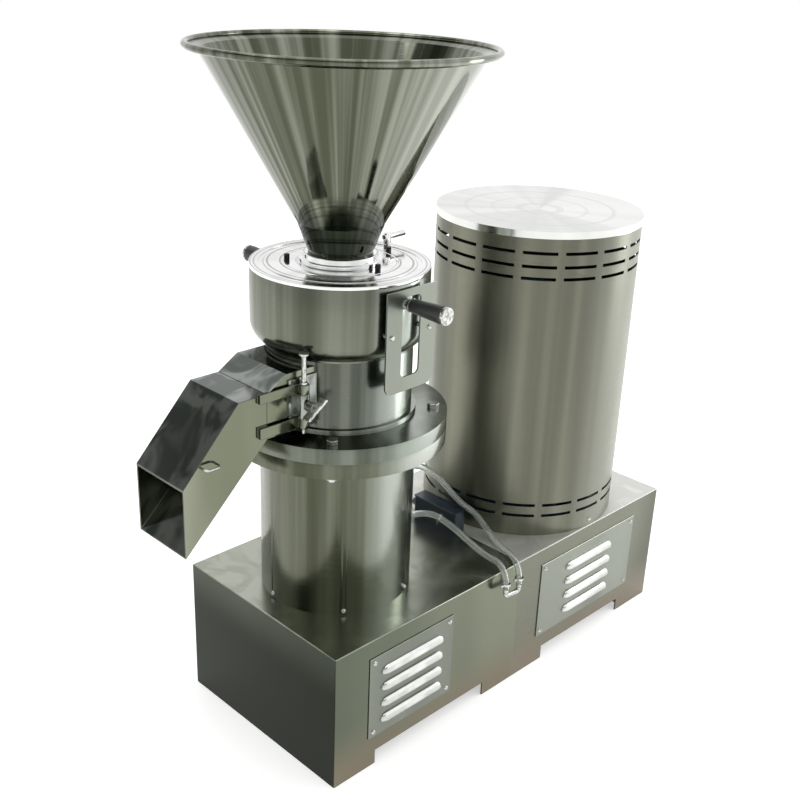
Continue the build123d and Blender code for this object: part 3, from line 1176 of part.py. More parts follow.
# Motor cover: rolled sheet with rows of cooling slots below its top and above its foot
slot_levels = [COVER_TOP - drop for drop in SLOT_ROWS_TOP] + [BASE_HEIGHT + rise for rise in SLOT_ROWS_BOTTOM]
with BuildPart() as motor_cover:
    with BuildSketch(level(motor_x, 0, BASE_HEIGHT)):
        Circle(cover_radius)
        Circle(cover_radius - COVER_SHEET, mode=Mode.SUBTRACT)
    extrude(amount=COVER_TOP - BASE_HEIGHT)
    for z in slot_levels:
        with BuildSketch(level(motor_x, 0, z - SLOT_HEIGHT / 2)):
            for i in range(SLOT_COUNT):
                begin = SLOT_START + 360 * i / SLOT_COUNT
                near = cover_radius - 2 * COVER_SHEET
                far = cover_radius + 2 * COVER_SHEET
                with BuildLine():
                    inner_arc = CenterArc((0, 0), near, begin, SLOT_ARC)
                    outer_arc = CenterArc((0, 0), far, begin, SLOT_ARC)
                    Line(inner_arc @ 0, outer_arc @ 0)
                    Line(inner_arc @ 1, outer_arc @ 1)
                make_face()
        extrude(amount=SLOT_HEIGHT, mode=Mode.SUBTRACT)
    for i in range(COVER_SCREW_COUNT):
        azimuth = COVER_SCREW_AZIMUTH + 360 * i / COVER_SCREW_COUNT
        with BuildSketch(radial(motor_x, azimuth, cover_radius - 2 * COVER_SHEET, BASE_HEIGHT + COVER_SCREW_HEIGHT)):
            Circle(SCREW_HOLE_RADIUS)
        extrude(amount=3 * COVER_SHEET, mode=Mode.SUBTRACT)
save(motor_cover, "motor_cover")

with BuildPart() as motor_cover_lid:
    with BuildSketch(motor_section):
        lip = cover_radius + COVER_LID_LIP
        border = cover_radius - COVER_LID_BORDER
        Polygon((0, COVER_TOP - COVER_LID_DISH), (border, COVER_TOP), (cover_radius, COVER_TOP),
                (cover_radius, COVER_TOP - COVER_LID_SKIRT), (lip, COVER_TOP - COVER_LID_SKIRT),
                (lip, COVER_LID_TOP), (border, COVER_TOP + COVER_LID_SHEET),
                (0, COVER_TOP + COVER_LID_SHEET - COVER_LID_DISH), align=None)
    revolve(axis=motor_axis)
save(motor_cover_lid, "motor_cover_lid")

with BuildPart() as cover_screws:
    for i in range(COVER_SCREW_COUNT):
        azimuth = COVER_SCREW_AZIMUTH + 360 * i / COVER_SCREW_COUNT
        seat = radial(motor_x, azimuth, cover_radius, BASE_HEIGHT + COVER_SCREW_HEIGHT)
        with BuildSketch(seat):
            Circle(SCREW_HEAD_RADIUS)
        extrude(amount=SCREW_HEAD_HEIGHT, taper=25)
        with BuildSketch(seat):
            Circle(SCREW_SHANK_RADIUS)
        extrude(amount=-SCREW_SHANK_LENGTH)
save(cover_screws, "cover_screws")

# Junction box with its lid line and cable gland
box_x = motor_x - cover_radius - BOX_TO_COVER - BOX_DEPTH / 2
with BuildPart() as junction_box:
    with BuildSketch(level(box_x, BOX_Y, BASE_HEIGHT)):
        RectangleRounded(BOX_DEPTH, BOX_LENGTH, BOX_CORNER)
    extrude(amount=BOX_HEIGHT - BOX_LID)
    with BuildSketch(level(box_x, BOX_Y, BASE_HEIGHT + BOX_HEIGHT - BOX_LID)):
        RectangleRounded(BOX_DEPTH + 2 * BOX_LID_EDGE, BOX_LENGTH + 2 * BOX_LID_EDGE, BOX_CORNER)
    extrude(amount=BOX_LID)
    with BuildSketch(Plane(origin=(box_x, BOX_Y + BOX_LENGTH / 2, BASE_HEIGHT + BOX_HEIGHT / 2),
                           x_dir=(1, 0, 0), z_dir=(0, 1, 0))):
        RegularPolygon(GLAND_RADIUS, 6)
    extrude(amount=GLAND_LENGTH)
save(junction_box, "junction_box")

# Water nozzles on the column, each with a nut and a spigot for its hose
supply_seat = radial(mill_x, SUPPLY_NOZZLE_AZIMUTH, 0, SUPPLY_NOZZLE_LEVEL)
return_seat = radial(mill_x, RETURN_NOZZLE_AZIMUTH, 0, RETURN_NOZZLE_LEVEL)
nozzle_end = COLUMN_RADIUS + NOZZLE_REACH
with BuildPart() as hose_nozzles:
    for seat in (supply_seat, return_seat):
        with BuildSketch(seat.offset(COLUMN_RADIUS - COLUMN_WALL)):
            RegularPolygon(NOZZLE_NUT_RADIUS, 6)
        extrude(amount=COLUMN_WALL + NOZZLE_NUT_LENGTH)
        with BuildSketch(seat.offset(COLUMN_RADIUS)):
            Circle(HOSE_RADIUS)
        extrude(amount=NOZZLE_REACH)
    with BuildSketch(level(mill_x, 0, BASE_HEIGHT)):
        Circle(COLUMN_RADIUS)
    extrude(amount=COLUMN_TOP - BASE_HEIGHT, mode=Mode.SUBTRACT)
save(hose_nozzles, "hose_nozzles")


# Clear water hoses that hang over the front edge of the base
def hose_radii(points):
    """The largest arc that the two runs beside each corner allow."""
    radii = []
    for before, corner, after in zip(points, points[1:], points[2:]):
        into = Vector(*corner) - Vector(*before)
        out = Vector(*after) - Vector(*corner)
        turn = into.get_angle(out)
        radii.append(0.45 * min(into.length, out.length) / tan(radians(turn / 2)))
    return radii


def hose(points):
    """Round hose along straight runs joined by tangent arcs."""
    radii = hose_radii(points)
    heading = Vector(*points[1]) - Vector(*points[0])
    with BuildPart() as tube:
        with BuildLine() as route:
            FilletPolyline(*points, radius=radii)
        with BuildSketch(Plane(origin=points[0], z_dir=heading)):
            Circle(HOSE_RADIUS)
        sweep()
    run = pi * HOSE_RADIUS ** 2 * route.wires()[0].length
    print("hose length", round(route.wires()[0].length, 1), "volume ratio", round(tube.part.volume / run, 4))
    print("hose radii", [round(radius, 1) for radius in radii])
    return tube


def nozzle_point(seat, reach):
    """A point on a nozzle's axis at a distance from the mill axis."""
    point = seat.origin + seat.z_dir * reach
    return (point.X, point.Y, point.Z)


supply_points = [nozzle_point(supply_seat, nozzle_end), nozzle_point(supply_seat, nozzle_end + HOSE_LEAD),
                 (18, -86, 319), (27, -128, 296), (33, -163, 281), (36, -194.6, 280), (31, -218, 258),
                 (31, -218, 236)]
return_points = [nozzle_point(return_seat, nozzle_end), nozzle_point(return_seat, nozzle_end + HOSE_LEAD),
                 (55, -14, 382), (88, -42, 325), (114, -62, 303), (110, -104, 277), (92, -150, 271),
                 (74, -194.6, 280), (68, -218, 257), (68, -218, 232)]
save(hose(supply_points), "supply_hose")
save(hose(return_points), "return_hose")

# Joiner between the hose ends, and the wing clamps round the hoses
supply_end = supply_points[-1]
return_end = return_points[-1]
with BuildPart() as hose_joiner:
    with BuildLine():
        FilletPolyline(supply_end, (supply_end[0], supply_end[1], supply_end[2] - JOINER_DROP),
                       (return_end[0], return_end[1], return_end[2] - JOINER_DROP), return_end,
                       radius=JOINER_RADIUS + EDGE_BREAK)
    with BuildSketch(level(*supply_end)):
        Circle(JOINER_RADIUS)
    sweep()
save(hose_joiner, "hose_joiner")


def clamp_place(points, index):
    """The middle of one straight run of a hose, as a plane across it."""
    begin = Vector(*points[index])
    end = Vector(*points[index + 1])
    return Plane(origin=(begin + end) / 2, z_dir=end - begin)


with BuildPart() as hose_clamps:
    for place in (clamp_place(supply_points, 1), clamp_place(supply_points, 6), clamp_place(return_points, 8)):
        with BuildSketch(place.offset(-CLAMP_WIDTH / 2)):
            Circle(CLAMP_RADIUS)
            with Locations((CLAMP_RADIUS + CLAMP_WING / 2 - EDGE_BREAK, 0)):
                Rectangle(CLAMP_WING, CLAMP_WING_SHEET)
            Circle(HOSE_RADIUS + SEAT_GAP, mode=Mode.SUBTRACT)
        extrude(amount=CLAMP_WIDTH)
save(hose_clamps, "hose_clamps")
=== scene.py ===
from math import cos, pi, radians, sin, sqrt

import bmesh
import bpy
from mathutils import Matrix, Vector


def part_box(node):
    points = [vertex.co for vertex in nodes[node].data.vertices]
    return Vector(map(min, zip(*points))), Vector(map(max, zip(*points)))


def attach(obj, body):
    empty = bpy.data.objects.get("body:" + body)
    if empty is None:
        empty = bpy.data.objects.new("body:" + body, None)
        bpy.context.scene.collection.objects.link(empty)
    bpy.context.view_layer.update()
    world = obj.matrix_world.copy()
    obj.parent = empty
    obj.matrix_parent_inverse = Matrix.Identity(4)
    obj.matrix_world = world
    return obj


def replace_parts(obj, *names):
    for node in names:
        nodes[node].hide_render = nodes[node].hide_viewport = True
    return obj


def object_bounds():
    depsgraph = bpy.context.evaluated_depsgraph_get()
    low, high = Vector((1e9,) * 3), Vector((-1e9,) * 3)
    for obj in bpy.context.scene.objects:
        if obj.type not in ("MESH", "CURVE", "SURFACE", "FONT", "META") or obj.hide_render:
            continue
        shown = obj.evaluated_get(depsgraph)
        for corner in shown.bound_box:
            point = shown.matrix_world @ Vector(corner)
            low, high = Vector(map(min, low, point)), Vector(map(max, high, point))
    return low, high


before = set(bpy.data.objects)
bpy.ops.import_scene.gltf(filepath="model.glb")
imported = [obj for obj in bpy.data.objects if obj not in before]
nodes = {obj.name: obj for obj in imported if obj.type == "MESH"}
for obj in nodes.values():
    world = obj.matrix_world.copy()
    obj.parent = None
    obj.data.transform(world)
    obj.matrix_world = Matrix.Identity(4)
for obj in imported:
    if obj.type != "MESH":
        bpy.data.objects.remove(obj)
cad_low, cad_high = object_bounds()


# Studio: a plain pale floor under a soft sky, white all round the horizon and dim only high on the
# chute's side, with one tall soft lamp on the motor's side and a wide one overhead.
def tone(red, green, blue):
    """A display colour, 0 to 255, as the linear values that shaders take."""
    return tuple((value / 255) ** 2.2 for value in (red, green, blue)) + (1.0,)


def put(tree, kind, sources=None, **settings):
    """Adds a shader node with its settings, and its inputs as values or as other nodes' outputs."""
    made = tree.nodes.new("ShaderNode" + kind)
    for key, value in settings.items():
        setattr(made, key, value)
    for key, source in (sources or {}).items():
        if isinstance(source, bpy.types.NodeSocket):
            tree.links.new(source, made.inputs[key])
        else:
            made.inputs[key].default_value = source
    return made


def ramp_between(tree, value, low, high, start=0.0, end=1.0):
    """A value mapped smoothly from one range to another."""
    return put(tree, "MapRange", {"Value": value, "From Min": low, "From Max": high,
                                  "To Min": start, "To Max": end}, interpolation_type="SMOOTHSTEP").outputs[0]


def mesh_piece(name, mesh, body, material, smooth=True):
    """Links a finished bmesh as an object that rides on a body, with its material."""
    data = bpy.data.meshes.new(name)
    mesh.normal_update()
    mesh.to_mesh(data)
    mesh.free()
    piece = bpy.data.objects.new(name, data)
    bpy.context.scene.collection.objects.link(piece)
    data.materials.append(material)
    for face in data.polygons:
        face.use_smooth = smooth
    if body:
        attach(piece, body)
    return piece


floor_half = 9.0
floor_lift = 0.5
floor_mesh = bmesh.new()
bmesh.ops.create_grid(floor_mesh, x_segments=1, y_segments=1, size=floor_half)
floor_paint = bpy.data.materials.new("studio_floor")
floor_paint.use_nodes = True
floor_shader = floor_paint.node_tree.nodes["Principled BSDF"]
floor_shader.inputs["Roughness"].default_value = 0.9
floor_shader.inputs["Specular IOR Level"].default_value = 0.2
floor_grain = put(floor_paint.node_tree, "TexNoise", {"Scale": 3.0, "Detail": 3.0})
floor_colour = put(floor_paint.node_tree, "Mix", {0: floor_grain.outputs[0], 6: (0.86, 0.86, 0.85, 1),
                                                  7: (0.9, 0.9, 0.89, 1)}, data_type="RGBA")
floor_paint.node_tree.links.new(floor_colour.outputs[2], floor_shader.inputs["Base Color"])
rays = put(floor_paint.node_tree, "LightPath").outputs
seen = put(floor_paint.node_tree, "Math", {0: rays["Is Camera Ray"], 1: rays["Is Glossy Ray"]}, operation="MAXIMUM")
seen = put(floor_paint.node_tree, "Math", {0: seen.outputs[0], 1: rays["Is Transmission Ray"]}, operation="MAXIMUM")
white_lift = put(floor_paint.node_tree, "Math", {0: seen.outputs[0], 1: floor_lift}, operation="MULTIPLY")
floor_shader.inputs["Emission Color"].default_value = (1, 1, 1, 1)
floor_paint.node_tree.links.new(white_lift.outputs[0], floor_shader.inputs["Emission Strength"])
floor = mesh_piece("studio_floor", floor_mesh, None, floor_paint)

world = bpy.data.worlds.new("studio_sky")
bpy.context.scene.world = world
world.use_nodes = True
sky = world.node_tree
sky_direction = put(sky, "TexCoord").outputs["Generated"]
away_from_window = put(sky, "VectorMath", {0: sky_direction, 1: (-0.98, -0.17, 0.0)},
                       operation="DOT_PRODUCT").outputs["Value"]
sky_height = put(sky, "SeparateXYZ", {0: sky_direction}).outputs["Z"]
dim_side = ramp_between(sky, away_from_window, -0.05, 0.35)
above_horizon = ramp_between(sky, sky_height, 0.34, 0.46)
below_overhead = ramp_between(sky, sky_height, 0.85, 0.6)
dim_height = put(sky, "Math", {0: above_horizon, 1: below_overhead}, operation="MULTIPLY").outputs[0]
dim = put(sky, "Math", {0: dim_side, 1: dim_height}, operation="MULTIPLY").outputs[0]
sky_colour = put(sky, "Mix", {0: dim, 6: (1, 1, 1, 1), 7: (0.17, 0.175, 0.16, 1)}, data_type="RGBA").outputs[2]
sky.links.new(sky_colour, sky.nodes["Background"].inputs["Color"])


def soft_lamp(name, place, target, width, height, radiance):
    """A rectangular soft lamp that faces a point, with the brightness of its own surface."""
    lamp = bpy.data.lights.new(name, "AREA")
    lamp.shape = "RECTANGLE"
    lamp.size = width
    lamp.size_y = height
    lamp.energy = radiance * pi * width * height
    carrier = bpy.data.objects.new(name, lamp)
    bpy.context.scene.collection.objects.link(carrier)
    carrier.location = place
    carrier.rotation_euler = (Vector(target) - Vector(place)).to_track_quat("-Z", "Y").to_euler()
    carrier.visible_camera = False
    return carrier


machine_middle = (cad_low + cad_high) / 2
soft_lamp("lamp_motor_side", (2.5, -1.5, 1.0), machine_middle, 0.9, 1.8, 2.6)
soft_lamp("lamp_overhead", (-0.2, 0.4, 3.2), machine_middle, 2.4, 2.4, 1.2)

# Camera at the photograph's viewpoint, with the lens and the slight roll fitted to the straight
# edges of the base and the round rims of the hopper and the cover.
picture_width = 800
focal_pixels = 1109.5
camera_place = Vector((-1.3645, -1.2977, 1.3378))
camera_yaw, camera_pitch, camera_roll = 0.7769, 0.3963, 0.0388
camera = bpy.data.objects.new("camera", bpy.data.cameras.new("camera"))
bpy.context.scene.collection.objects.link(camera)
camera.data.sensor_width = 36.0
camera.data.lens = focal_pixels * camera.data.sensor_width / picture_width
ahead = Vector((cos(camera_pitch) * cos(camera_yaw), cos(camera_pitch) * sin(camera_yaw), -sin(camera_pitch)))
level_right = Vector((sin(camera_yaw), -cos(camera_yaw), 0))
level_up = level_right.cross(ahead)
camera_right = cos(camera_roll) * level_right + sin(camera_roll) * level_up
camera_up = -sin(camera_roll) * level_right + cos(camera_roll) * level_up
camera.matrix_world = Matrix.Translation(camera_place) @ Matrix((camera_right, camera_up, -ahead)).transposed().to_4x4()
bpy.context.scene.camera = camera
bpy.context.scene.view_settings.view_transform = "Standard"


# Base: two folded boxes of polished stainless sheet that meet at a seam. Their colour holds painted
# reflections: soft drifts over the sheet, a warm floor reflection towards the bottom and lighter upward faces; the end
# facing -x is darker by painted shade. The sheet shows a faint brushed grain.
def new_group(name, inputs, outputs):
    """An empty shader group with its named sockets."""
    group = bpy.data.node_groups.new(name, "ShaderNodeTree")
    for label, kind, value in inputs:
        group.interface.new_socket(label, in_out="INPUT", socket_type="NodeSocket" + kind).default_value = value
    for label, kind in outputs:
        group.interface.new_socket(label, in_out="OUTPUT", socket_type="NodeSocket" + kind)
    return group, group.nodes.new("NodeGroupInput").outputs, group.nodes.new("NodeGroupOutput").inputs


def sheet_polish():
    """Flat polished sheet: broad drifts of painted reflection, a painted floor reflection at the foot, painted shade on
    the end facing -x, painted reflections on upward faces and a brushed grain.
    """
    group, given, result = new_group(
        "sheet_polish",
        [("Deep", "Color", (0.1, 0.1, 0.1, 1)), ("Bright", "Color", (0.3, 0.3, 0.3, 1)),
         ("Foot", "Color", (0.1, 0.1, 0.1, 1)), ("End", "Color", (0.1, 0.1, 0.1, 1)),
         ("Top", "Color", (0.1, 0.1, 0.1, 1)), ("Top Swirl", "Color", (0.2, 0.2, 0.2, 1)),
         ("Top Roughness", "Float", 0.2),
         ("Drift", "Float", 4.0), ("Foot Height", "Float", 0.1), ("Grain", "Float", 700.0),
         ("Smoothest", "Float", 0.2), ("Roughest", "Float", 0.35)],
        [("Color", "Color"), ("Roughness", "Float"), ("Height", "Float")])
    place = put(group, "TexCoord").outputs["Object"]
    stretched = put(group, "VectorMath", {0: place, 1: (1.0, 1.0, 0.18)}, operation="MULTIPLY").outputs[0]
    # Painted reflection: broad noise drifts between Deep and Bright stand in for the room mirrored in the sheet.
    reflection_drift = put(group, "TexNoise", {"Vector": stretched, "Scale": given["Drift"], "Detail": 1.5}).outputs[0]
    reflection_drift = ramp_between(group, reflection_drift, 0.36, 0.64)
    sheet = put(group, "Mix", {0: reflection_drift, 6: given["Deep"], 7: given["Bright"]}, data_type="RGBA").outputs[2]
    height = put(group, "SeparateXYZ", {0: place}).outputs["Z"]
    # Painted reflection of the floor: the Foot colour is mixed in towards the bottom, up to Foot Height.
    floor_reflection_share = put(group, "MapRange", {"Value": height, "From Min": 0.0, "From Max": given["Foot Height"],
                                         "To Min": 1.0, "To Max": 0.0}, interpolation_type="SMOOTHSTEP").outputs[0]
    with_floor_reflection = put(group, "Mix", {0: floor_reflection_share, 6: sheet, 7: given["Foot"]}, data_type="RGBA").outputs[2]
    facing = put(group, "TexCoord").outputs["Normal"]
    # Painted shade: faces turned to -x take the darker End colour, a little less of it higher up.
    to_end = put(group, "VectorMath", {0: facing, 1: (-1.0, 0.0, 0.0)}, operation="DOT_PRODUCT").outputs["Value"]
    end_shade_share = ramp_between(group, to_end, 0.5, 0.95)
    end_shade_fade = ramp_between(group, height, 0.17, 0.27, 1.0, 0.72)
    end_shade_share = put(group, "Math", {0: end_shade_share, 1: end_shade_fade}, operation="MULTIPLY").outputs[0]
    with_end_shade = put(group, "Mix", {0: end_shade_share, 6: with_floor_reflection, 7: given["End"]}, data_type="RGBA").outputs[2]
    # Painted reflection on upward faces: the Top colour, broken by a swirl towards Top Swirl.
    reflection_swirl = put(group, "TexNoise", {"Vector": place, "Scale": 11.0, "Detail": 2.0, "Distortion": 1.6}).outputs[0]
    reflection_swirl = ramp_between(group, reflection_swirl, 0.42, 0.62)
    top = put(group, "Mix", {0: reflection_swirl, 6: given["Top"], 7: given["Top Swirl"]}, data_type="RGBA").outputs[2]
    upward = ramp_between(group, put(group, "SeparateXYZ", {0: facing}).outputs["Z"], 0.35, 0.55)
    with_top_reflection = put(group, "Mix", {0: upward, 6: with_end_shade, 7: top}, data_type="RGBA").outputs[2]
    group.links.new(with_top_reflection, result["Color"])
    across = put(group, "VectorMath", {0: place, 1: (0.02, 0.02, 1.0)}, operation="MULTIPLY").outputs[0]
    grain = put(group, "TexNoise", {"Vector": across, "Scale": given["Grain"], "Detail": 3.0}).outputs[0]
    group.links.new(grain, result["Height"])
    cloud = put(group, "TexNoise", {"Vector": place, "Scale": 9.0, "Detail": 4.0}).outputs[0]
    side_rough = put(group, "MapRange", {"Value": cloud, "From Min": 0.3, "From Max": 0.7,
                                         "To Min": given["Smoothest"], "To Max": given["Roughest"]}).outputs[0]
    rough = put(group, "Mix", {0: upward, 2: side_rough, 3: given["Top Roughness"]}).outputs[0]
    group.links.new(rough, result["Roughness"])
    return group


def finish_material(name, group, values, bump, metallic=1.0, **constants):
    """A material whose colour, roughness and relief come from a group, and the rest from the shader."""
    material = bpy.data.materials.new(name)
    material.use_nodes = True
    tree = material.node_tree
    shader = tree.nodes["Principled BSDF"]
    shader.inputs["Metallic"].default_value = metallic
    for label, value in constants.items():
        shader.inputs[label.replace("_", " ")].default_value = value
    surface = put(tree, "Group", node_tree=group)
    for label, value in values.items():
        surface.inputs[label].default_value = value
    tree.links.new(surface.outputs["Color"], shader.inputs["Base Color"])
    tree.links.new(surface.outputs["Roughness"], shader.inputs["Roughness"])
    relief = put(tree, "Bump", {"Height": surface.outputs["Height"], "Strength": bump, "Distance": 0.0005})
    tree.links.new(relief.outputs[0], shader.inputs["Normal"])
    return material


def dress(material, *names, slot=None, edge=0.0, edge_wear_and_highlight=None):
    """Gives CAD nodes their finish, and breaks their sharp edges by a small bevel that, where given, takes a bright
    edge colour of wear and painted highlight.
    """
    for name in names:
        node = nodes[name]
        node.data.materials.clear()
        node.data.materials.append(material)
        if edge:
            node.modifiers.new("joined", "WELD").merge_threshold = 0.00001
            flat = node.modifiers.new("whole_faces", "DECIMATE")
            flat.decimate_type = "DISSOLVE"
            flat.angle_limit = radians(0.5)
            broken = node.modifiers.new("broken_edge", "BEVEL")
            broken.width = edge
            broken.segments = 2
            broken.limit_method = "ANGLE"
            broken.angle_limit = radians(40)
            if edge_wear_and_highlight:
                node.data.materials.append(edge_wear_and_highlight)
                broken.material = 1


sheet_group = sheet_polish()
# Painted light in these values: Deep and Bright are the reflection drifts, Foot the floor reflection, End the shade on
# the end, Top and Top Swirl the reflection on the top.
mill_base_finish = finish_material("base_steel_mill", sheet_group, {
    "Deep": tone(96, 102, 88), "Bright": tone(122, 126, 110), "Foot": tone(124, 116, 100), "End": tone(31, 36, 27),
    "Top": tone(158, 162, 150), "Top Swirl": tone(172, 176, 164), "Top Roughness": 0.24,
    "Drift": 3.2, "Foot Height": 0.12, "Smoothest": 0.14, "Roughest": 0.26}, 0.04)
motor_base_finish = finish_material("base_steel_motor", sheet_group, {
    "Deep": tone(92, 96, 83), "Bright": tone(118, 120, 107), "Foot": tone(128, 120, 106), "End": tone(80, 84, 72),
    "Top": tone(222, 223, 218), "Top Swirl": tone(234, 235, 230), "Top Roughness": 0.55,
    "Drift": 3.2, "Foot Height": 0.12, "Smoothest": 0.2, "Roughest": 0.36}, 0.04)
# Bright edge colour for the bevels: some wear, and a painted highlight along the folds where they catch the light.
wear_and_highlight_fold = finish_material("wear_and_highlight_fold", sheet_group, {
    "Deep": tone(176, 180, 170), "Bright": tone(232, 234, 228), "Foot": tone(190, 188, 178), "End": tone(120, 124, 112),
    "Top": tone(214, 216, 210), "Top Swirl": tone(236, 238, 232),
    "Drift": 14.0, "Foot Height": 0.05, "Smoothest": 0.12, "Roughest": 0.2}, 0.02)
dress(mill_base_finish, "base_shell_mill", slot="base_steel", edge=0.0016, edge_wear_and_highlight=wear_and_highlight_fold)
dress(motor_base_finish, "base_shell_motor", slot="base_steel", edge=0.0016, edge_wear_and_highlight=wear_and_highlight_fold)


# Welded frame of square tube with its foot plates, hidden inside the shells and dipped in grey
# primer that has gone on a little unevenly.
def coat_of_paint():
    """Paint with an orange peel surface and a faint change of shade."""
    group, given, result = new_group(
        "coat_of_paint",
        [("Shade", "Color", (0.1, 0.1, 0.1, 1)), ("Worn", "Color", (0.2, 0.2, 0.2, 1)), ("Peel", "Float", 260.0),
         ("Smoothest", "Float", 0.3), ("Roughest", "Float", 0.5)],
        [("Color", "Color"), ("Roughness", "Float"), ("Height", "Float")])
    place = put(group, "TexCoord").outputs["Object"]
    cloud = put(group, "TexNoise", {"Vector": place, "Scale": 14.0, "Detail": 5.0, "Roughness": 0.6}).outputs[0]
    share = ramp_between(group, cloud, 0.42, 0.7)
    group.links.new(put(group, "Mix", {0: share, 6: given["Shade"], 7: given["Worn"]}, data_type="RGBA").outputs[2],
                    result["Color"])
    group.links.new(put(group, "MapRange", {"Value": cloud, "From Min": 0.3, "From Max": 0.7,
                                            "To Min": given["Smoothest"], "To Max": given["Roughest"]}).outputs[0],
                    result["Roughness"])
    peel = put(group, "TexNoise", {"Vector": place, "Scale": given["Peel"], "Detail": 2.0}).outputs[0]
    group.links.new(peel, result["Height"])
    return group


paint_group = coat_of_paint()
primer = finish_material("grey_primer", paint_group, {"Shade": (0.17, 0.18, 0.19, 1), "Worn": (0.24, 0.25, 0.26, 1),
                                                      "Peel": 180.0}, 0.15, metallic=0.0)
dress(primer, "base_frame", slot="frame_steel")

# Louvred panels: two satin cover plates with four pressed louvres each, rounded at both ends and
# open below, held by four pan head screws.
panel_finish = finish_material("panel_steel", sheet_group, {
    "Deep": tone(120, 124, 115), "Bright": tone(142, 146, 137), "Foot": tone(128, 130, 122),
    "End": tone(110, 114, 104), "Top": tone(176, 180, 172), "Top Swirl": tone(190, 194, 186),
    "Drift": 6.0, "Foot Height": 0.06, "Smoothest": 0.26, "Roughest": 0.38}, 0.05)
# Painted highlight: the louvres take a much lighter copy of the panel's sheet, standing for the sky on their hoods.
louvre_highlight_finish = finish_material("louvre_painted_highlight", sheet_group, {
    "Deep": tone(196, 199, 194), "Bright": tone(226, 228, 224), "Foot": tone(190, 192, 186),
    "End": tone(190, 192, 186), "Top": tone(240, 241, 238), "Top Swirl": tone(248, 249, 246),
    "Drift": 20.0, "Foot Height": 0.06, "Smoothest": 0.24, "Roughest": 0.34}, 0.04)
louvre_count = 4
louvre_length = 0.150
louvre_pitch = 0.033
louvre_height = 0.014
louvre_end = 0.014
panel_sheet = 0.002
louvre_sheet = 0.0015


def louvre_hood(mesh, middle, bottom, face_y, depth):
    """One pressed louvre: a quarter ellipse along its length that closes in a round at each end."""
    columns, rows = 44, 8
    grid = []
    for i in range(columns + 1):
        along = -louvre_length / 2 + louvre_length * (1 - cos(pi * i / columns)) / 2
        into_end = max(0.0, (abs(along) - (louvre_length / 2 - louvre_end)) / louvre_end)
        share = sqrt(max(0.0, 1 - into_end ** 2))
        grid.append([mesh.verts.new((middle + along, face_y - depth * share * cos(pi / 2 * j / rows),
                                     bottom + louvre_height * share * sin(pi / 2 * j / rows)))
                     for j in range(rows + 1)])
    for i in range(columns):
        for j in range(rows):
            mesh.faces.new((grid[i][j], grid[i + 1][j], grid[i + 1][j + 1], grid[i][j + 1]))


for side in ("mill", "motor"):
    low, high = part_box("louvre_panel_" + side)
    middle_x, middle_z = (low.x + high.x) / 2, (low.z + high.z) / 2
    face_y = high.y - panel_sheet
    bottoms = [middle_z + (i - (louvre_count - 1) / 2) * louvre_pitch - louvre_height / 2 for i in range(louvre_count)]
    hoods = bmesh.new()
    for bottom in bottoms:
        louvre_hood(hoods, middle_x, bottom, face_y, face_y - low.y)
    bmesh.ops.remove_doubles(hoods, verts=hoods.verts, dist=1e-6)
    hood_piece = mesh_piece("louvres_" + side, hoods, "base", louvre_highlight_finish)
    hood_piece.modifiers.new("sheet", "SOLIDIFY").thickness = louvre_sheet
    slot_half = louvre_length / 2 - 2 * louvre_sheet
    plate = bmesh.new()
    xs = (low.x, middle_x - slot_half, middle_x + slot_half, high.x)
    zs = [low.z]
    for bottom in bottoms:
        zs += [bottom, bottom + louvre_height * 0.6]
    zs.append(high.z)
    corners = [[plate.verts.new((x, face_y, z)) for z in zs] for x in xs]
    for i in range(3):
        for j in range(len(zs) - 1):
            if i == 1 and j % 2 == 1:
                continue
            plate.faces.new((corners[i][j], corners[i + 1][j], corners[i + 1][j + 1], corners[i][j + 1]))
    plate_piece = mesh_piece("panel_plate_" + side, plate, "base", panel_finish, smooth=False)
    thick = plate_piece.modifiers.new("sheet", "SOLIDIFY")
    thick.thickness = panel_sheet
    thick.offset = -1
    edge = plate_piece.modifiers.new("cut_edge", "BEVEL")
    edge.width = 0.0004
    edge.limit_method = "ANGLE"
    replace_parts(plate_piece, "louvre_panel_" + side)


# Small screws: bright pan heads with a cross recess, on the panels, the column's foot, the guard
# plate and the foot of the motor cover.
def bright_metal():
    """Plated or bare bright metal with fine handling marks."""
    group, given, result = new_group(
        "bright_metal",
        [("Clean", "Color", (0.6, 0.6, 0.6, 1)), ("Dull", "Color", (0.3, 0.3, 0.3, 1)), ("Marks", "Float", 120.0),
         ("Smoothest", "Float", 0.12), ("Roughest", "Float", 0.3)],
        [("Color", "Color"), ("Roughness", "Float"), ("Height", "Float")])
    place = put(group, "TexCoord").outputs["Object"]
    marks = put(group, "TexNoise", {"Vector": place, "Scale": given["Marks"], "Detail": 4.0}).outputs[0]
    share = ramp_between(group, marks, 0.4, 0.68)
    group.links.new(put(group, "Mix", {0: share, 6: given["Clean"], 7: given["Dull"]}, data_type="RGBA").outputs[2],
                    result["Color"])
    group.links.new(put(group, "MapRange", {"Value": marks, "From Min": 0.3, "From Max": 0.7,
                                            "To Min": given["Smoothest"], "To Max": given["Roughest"]}).outputs[0],
                    result["Roughness"])
    group.links.new(marks, result["Height"])
    return group


bright_group = bright_metal()
screw_finish = finish_material("screw_steel", bright_group, {
    "Clean": tone(206, 208, 204), "Dull": tone(140, 142, 136), "Marks": 220.0}, 0.05)
head_radius = 0.0045
head_height = 0.0026
recess_reach = 0.0026
recess_half = 0.0006
recess_depth = 0.0012


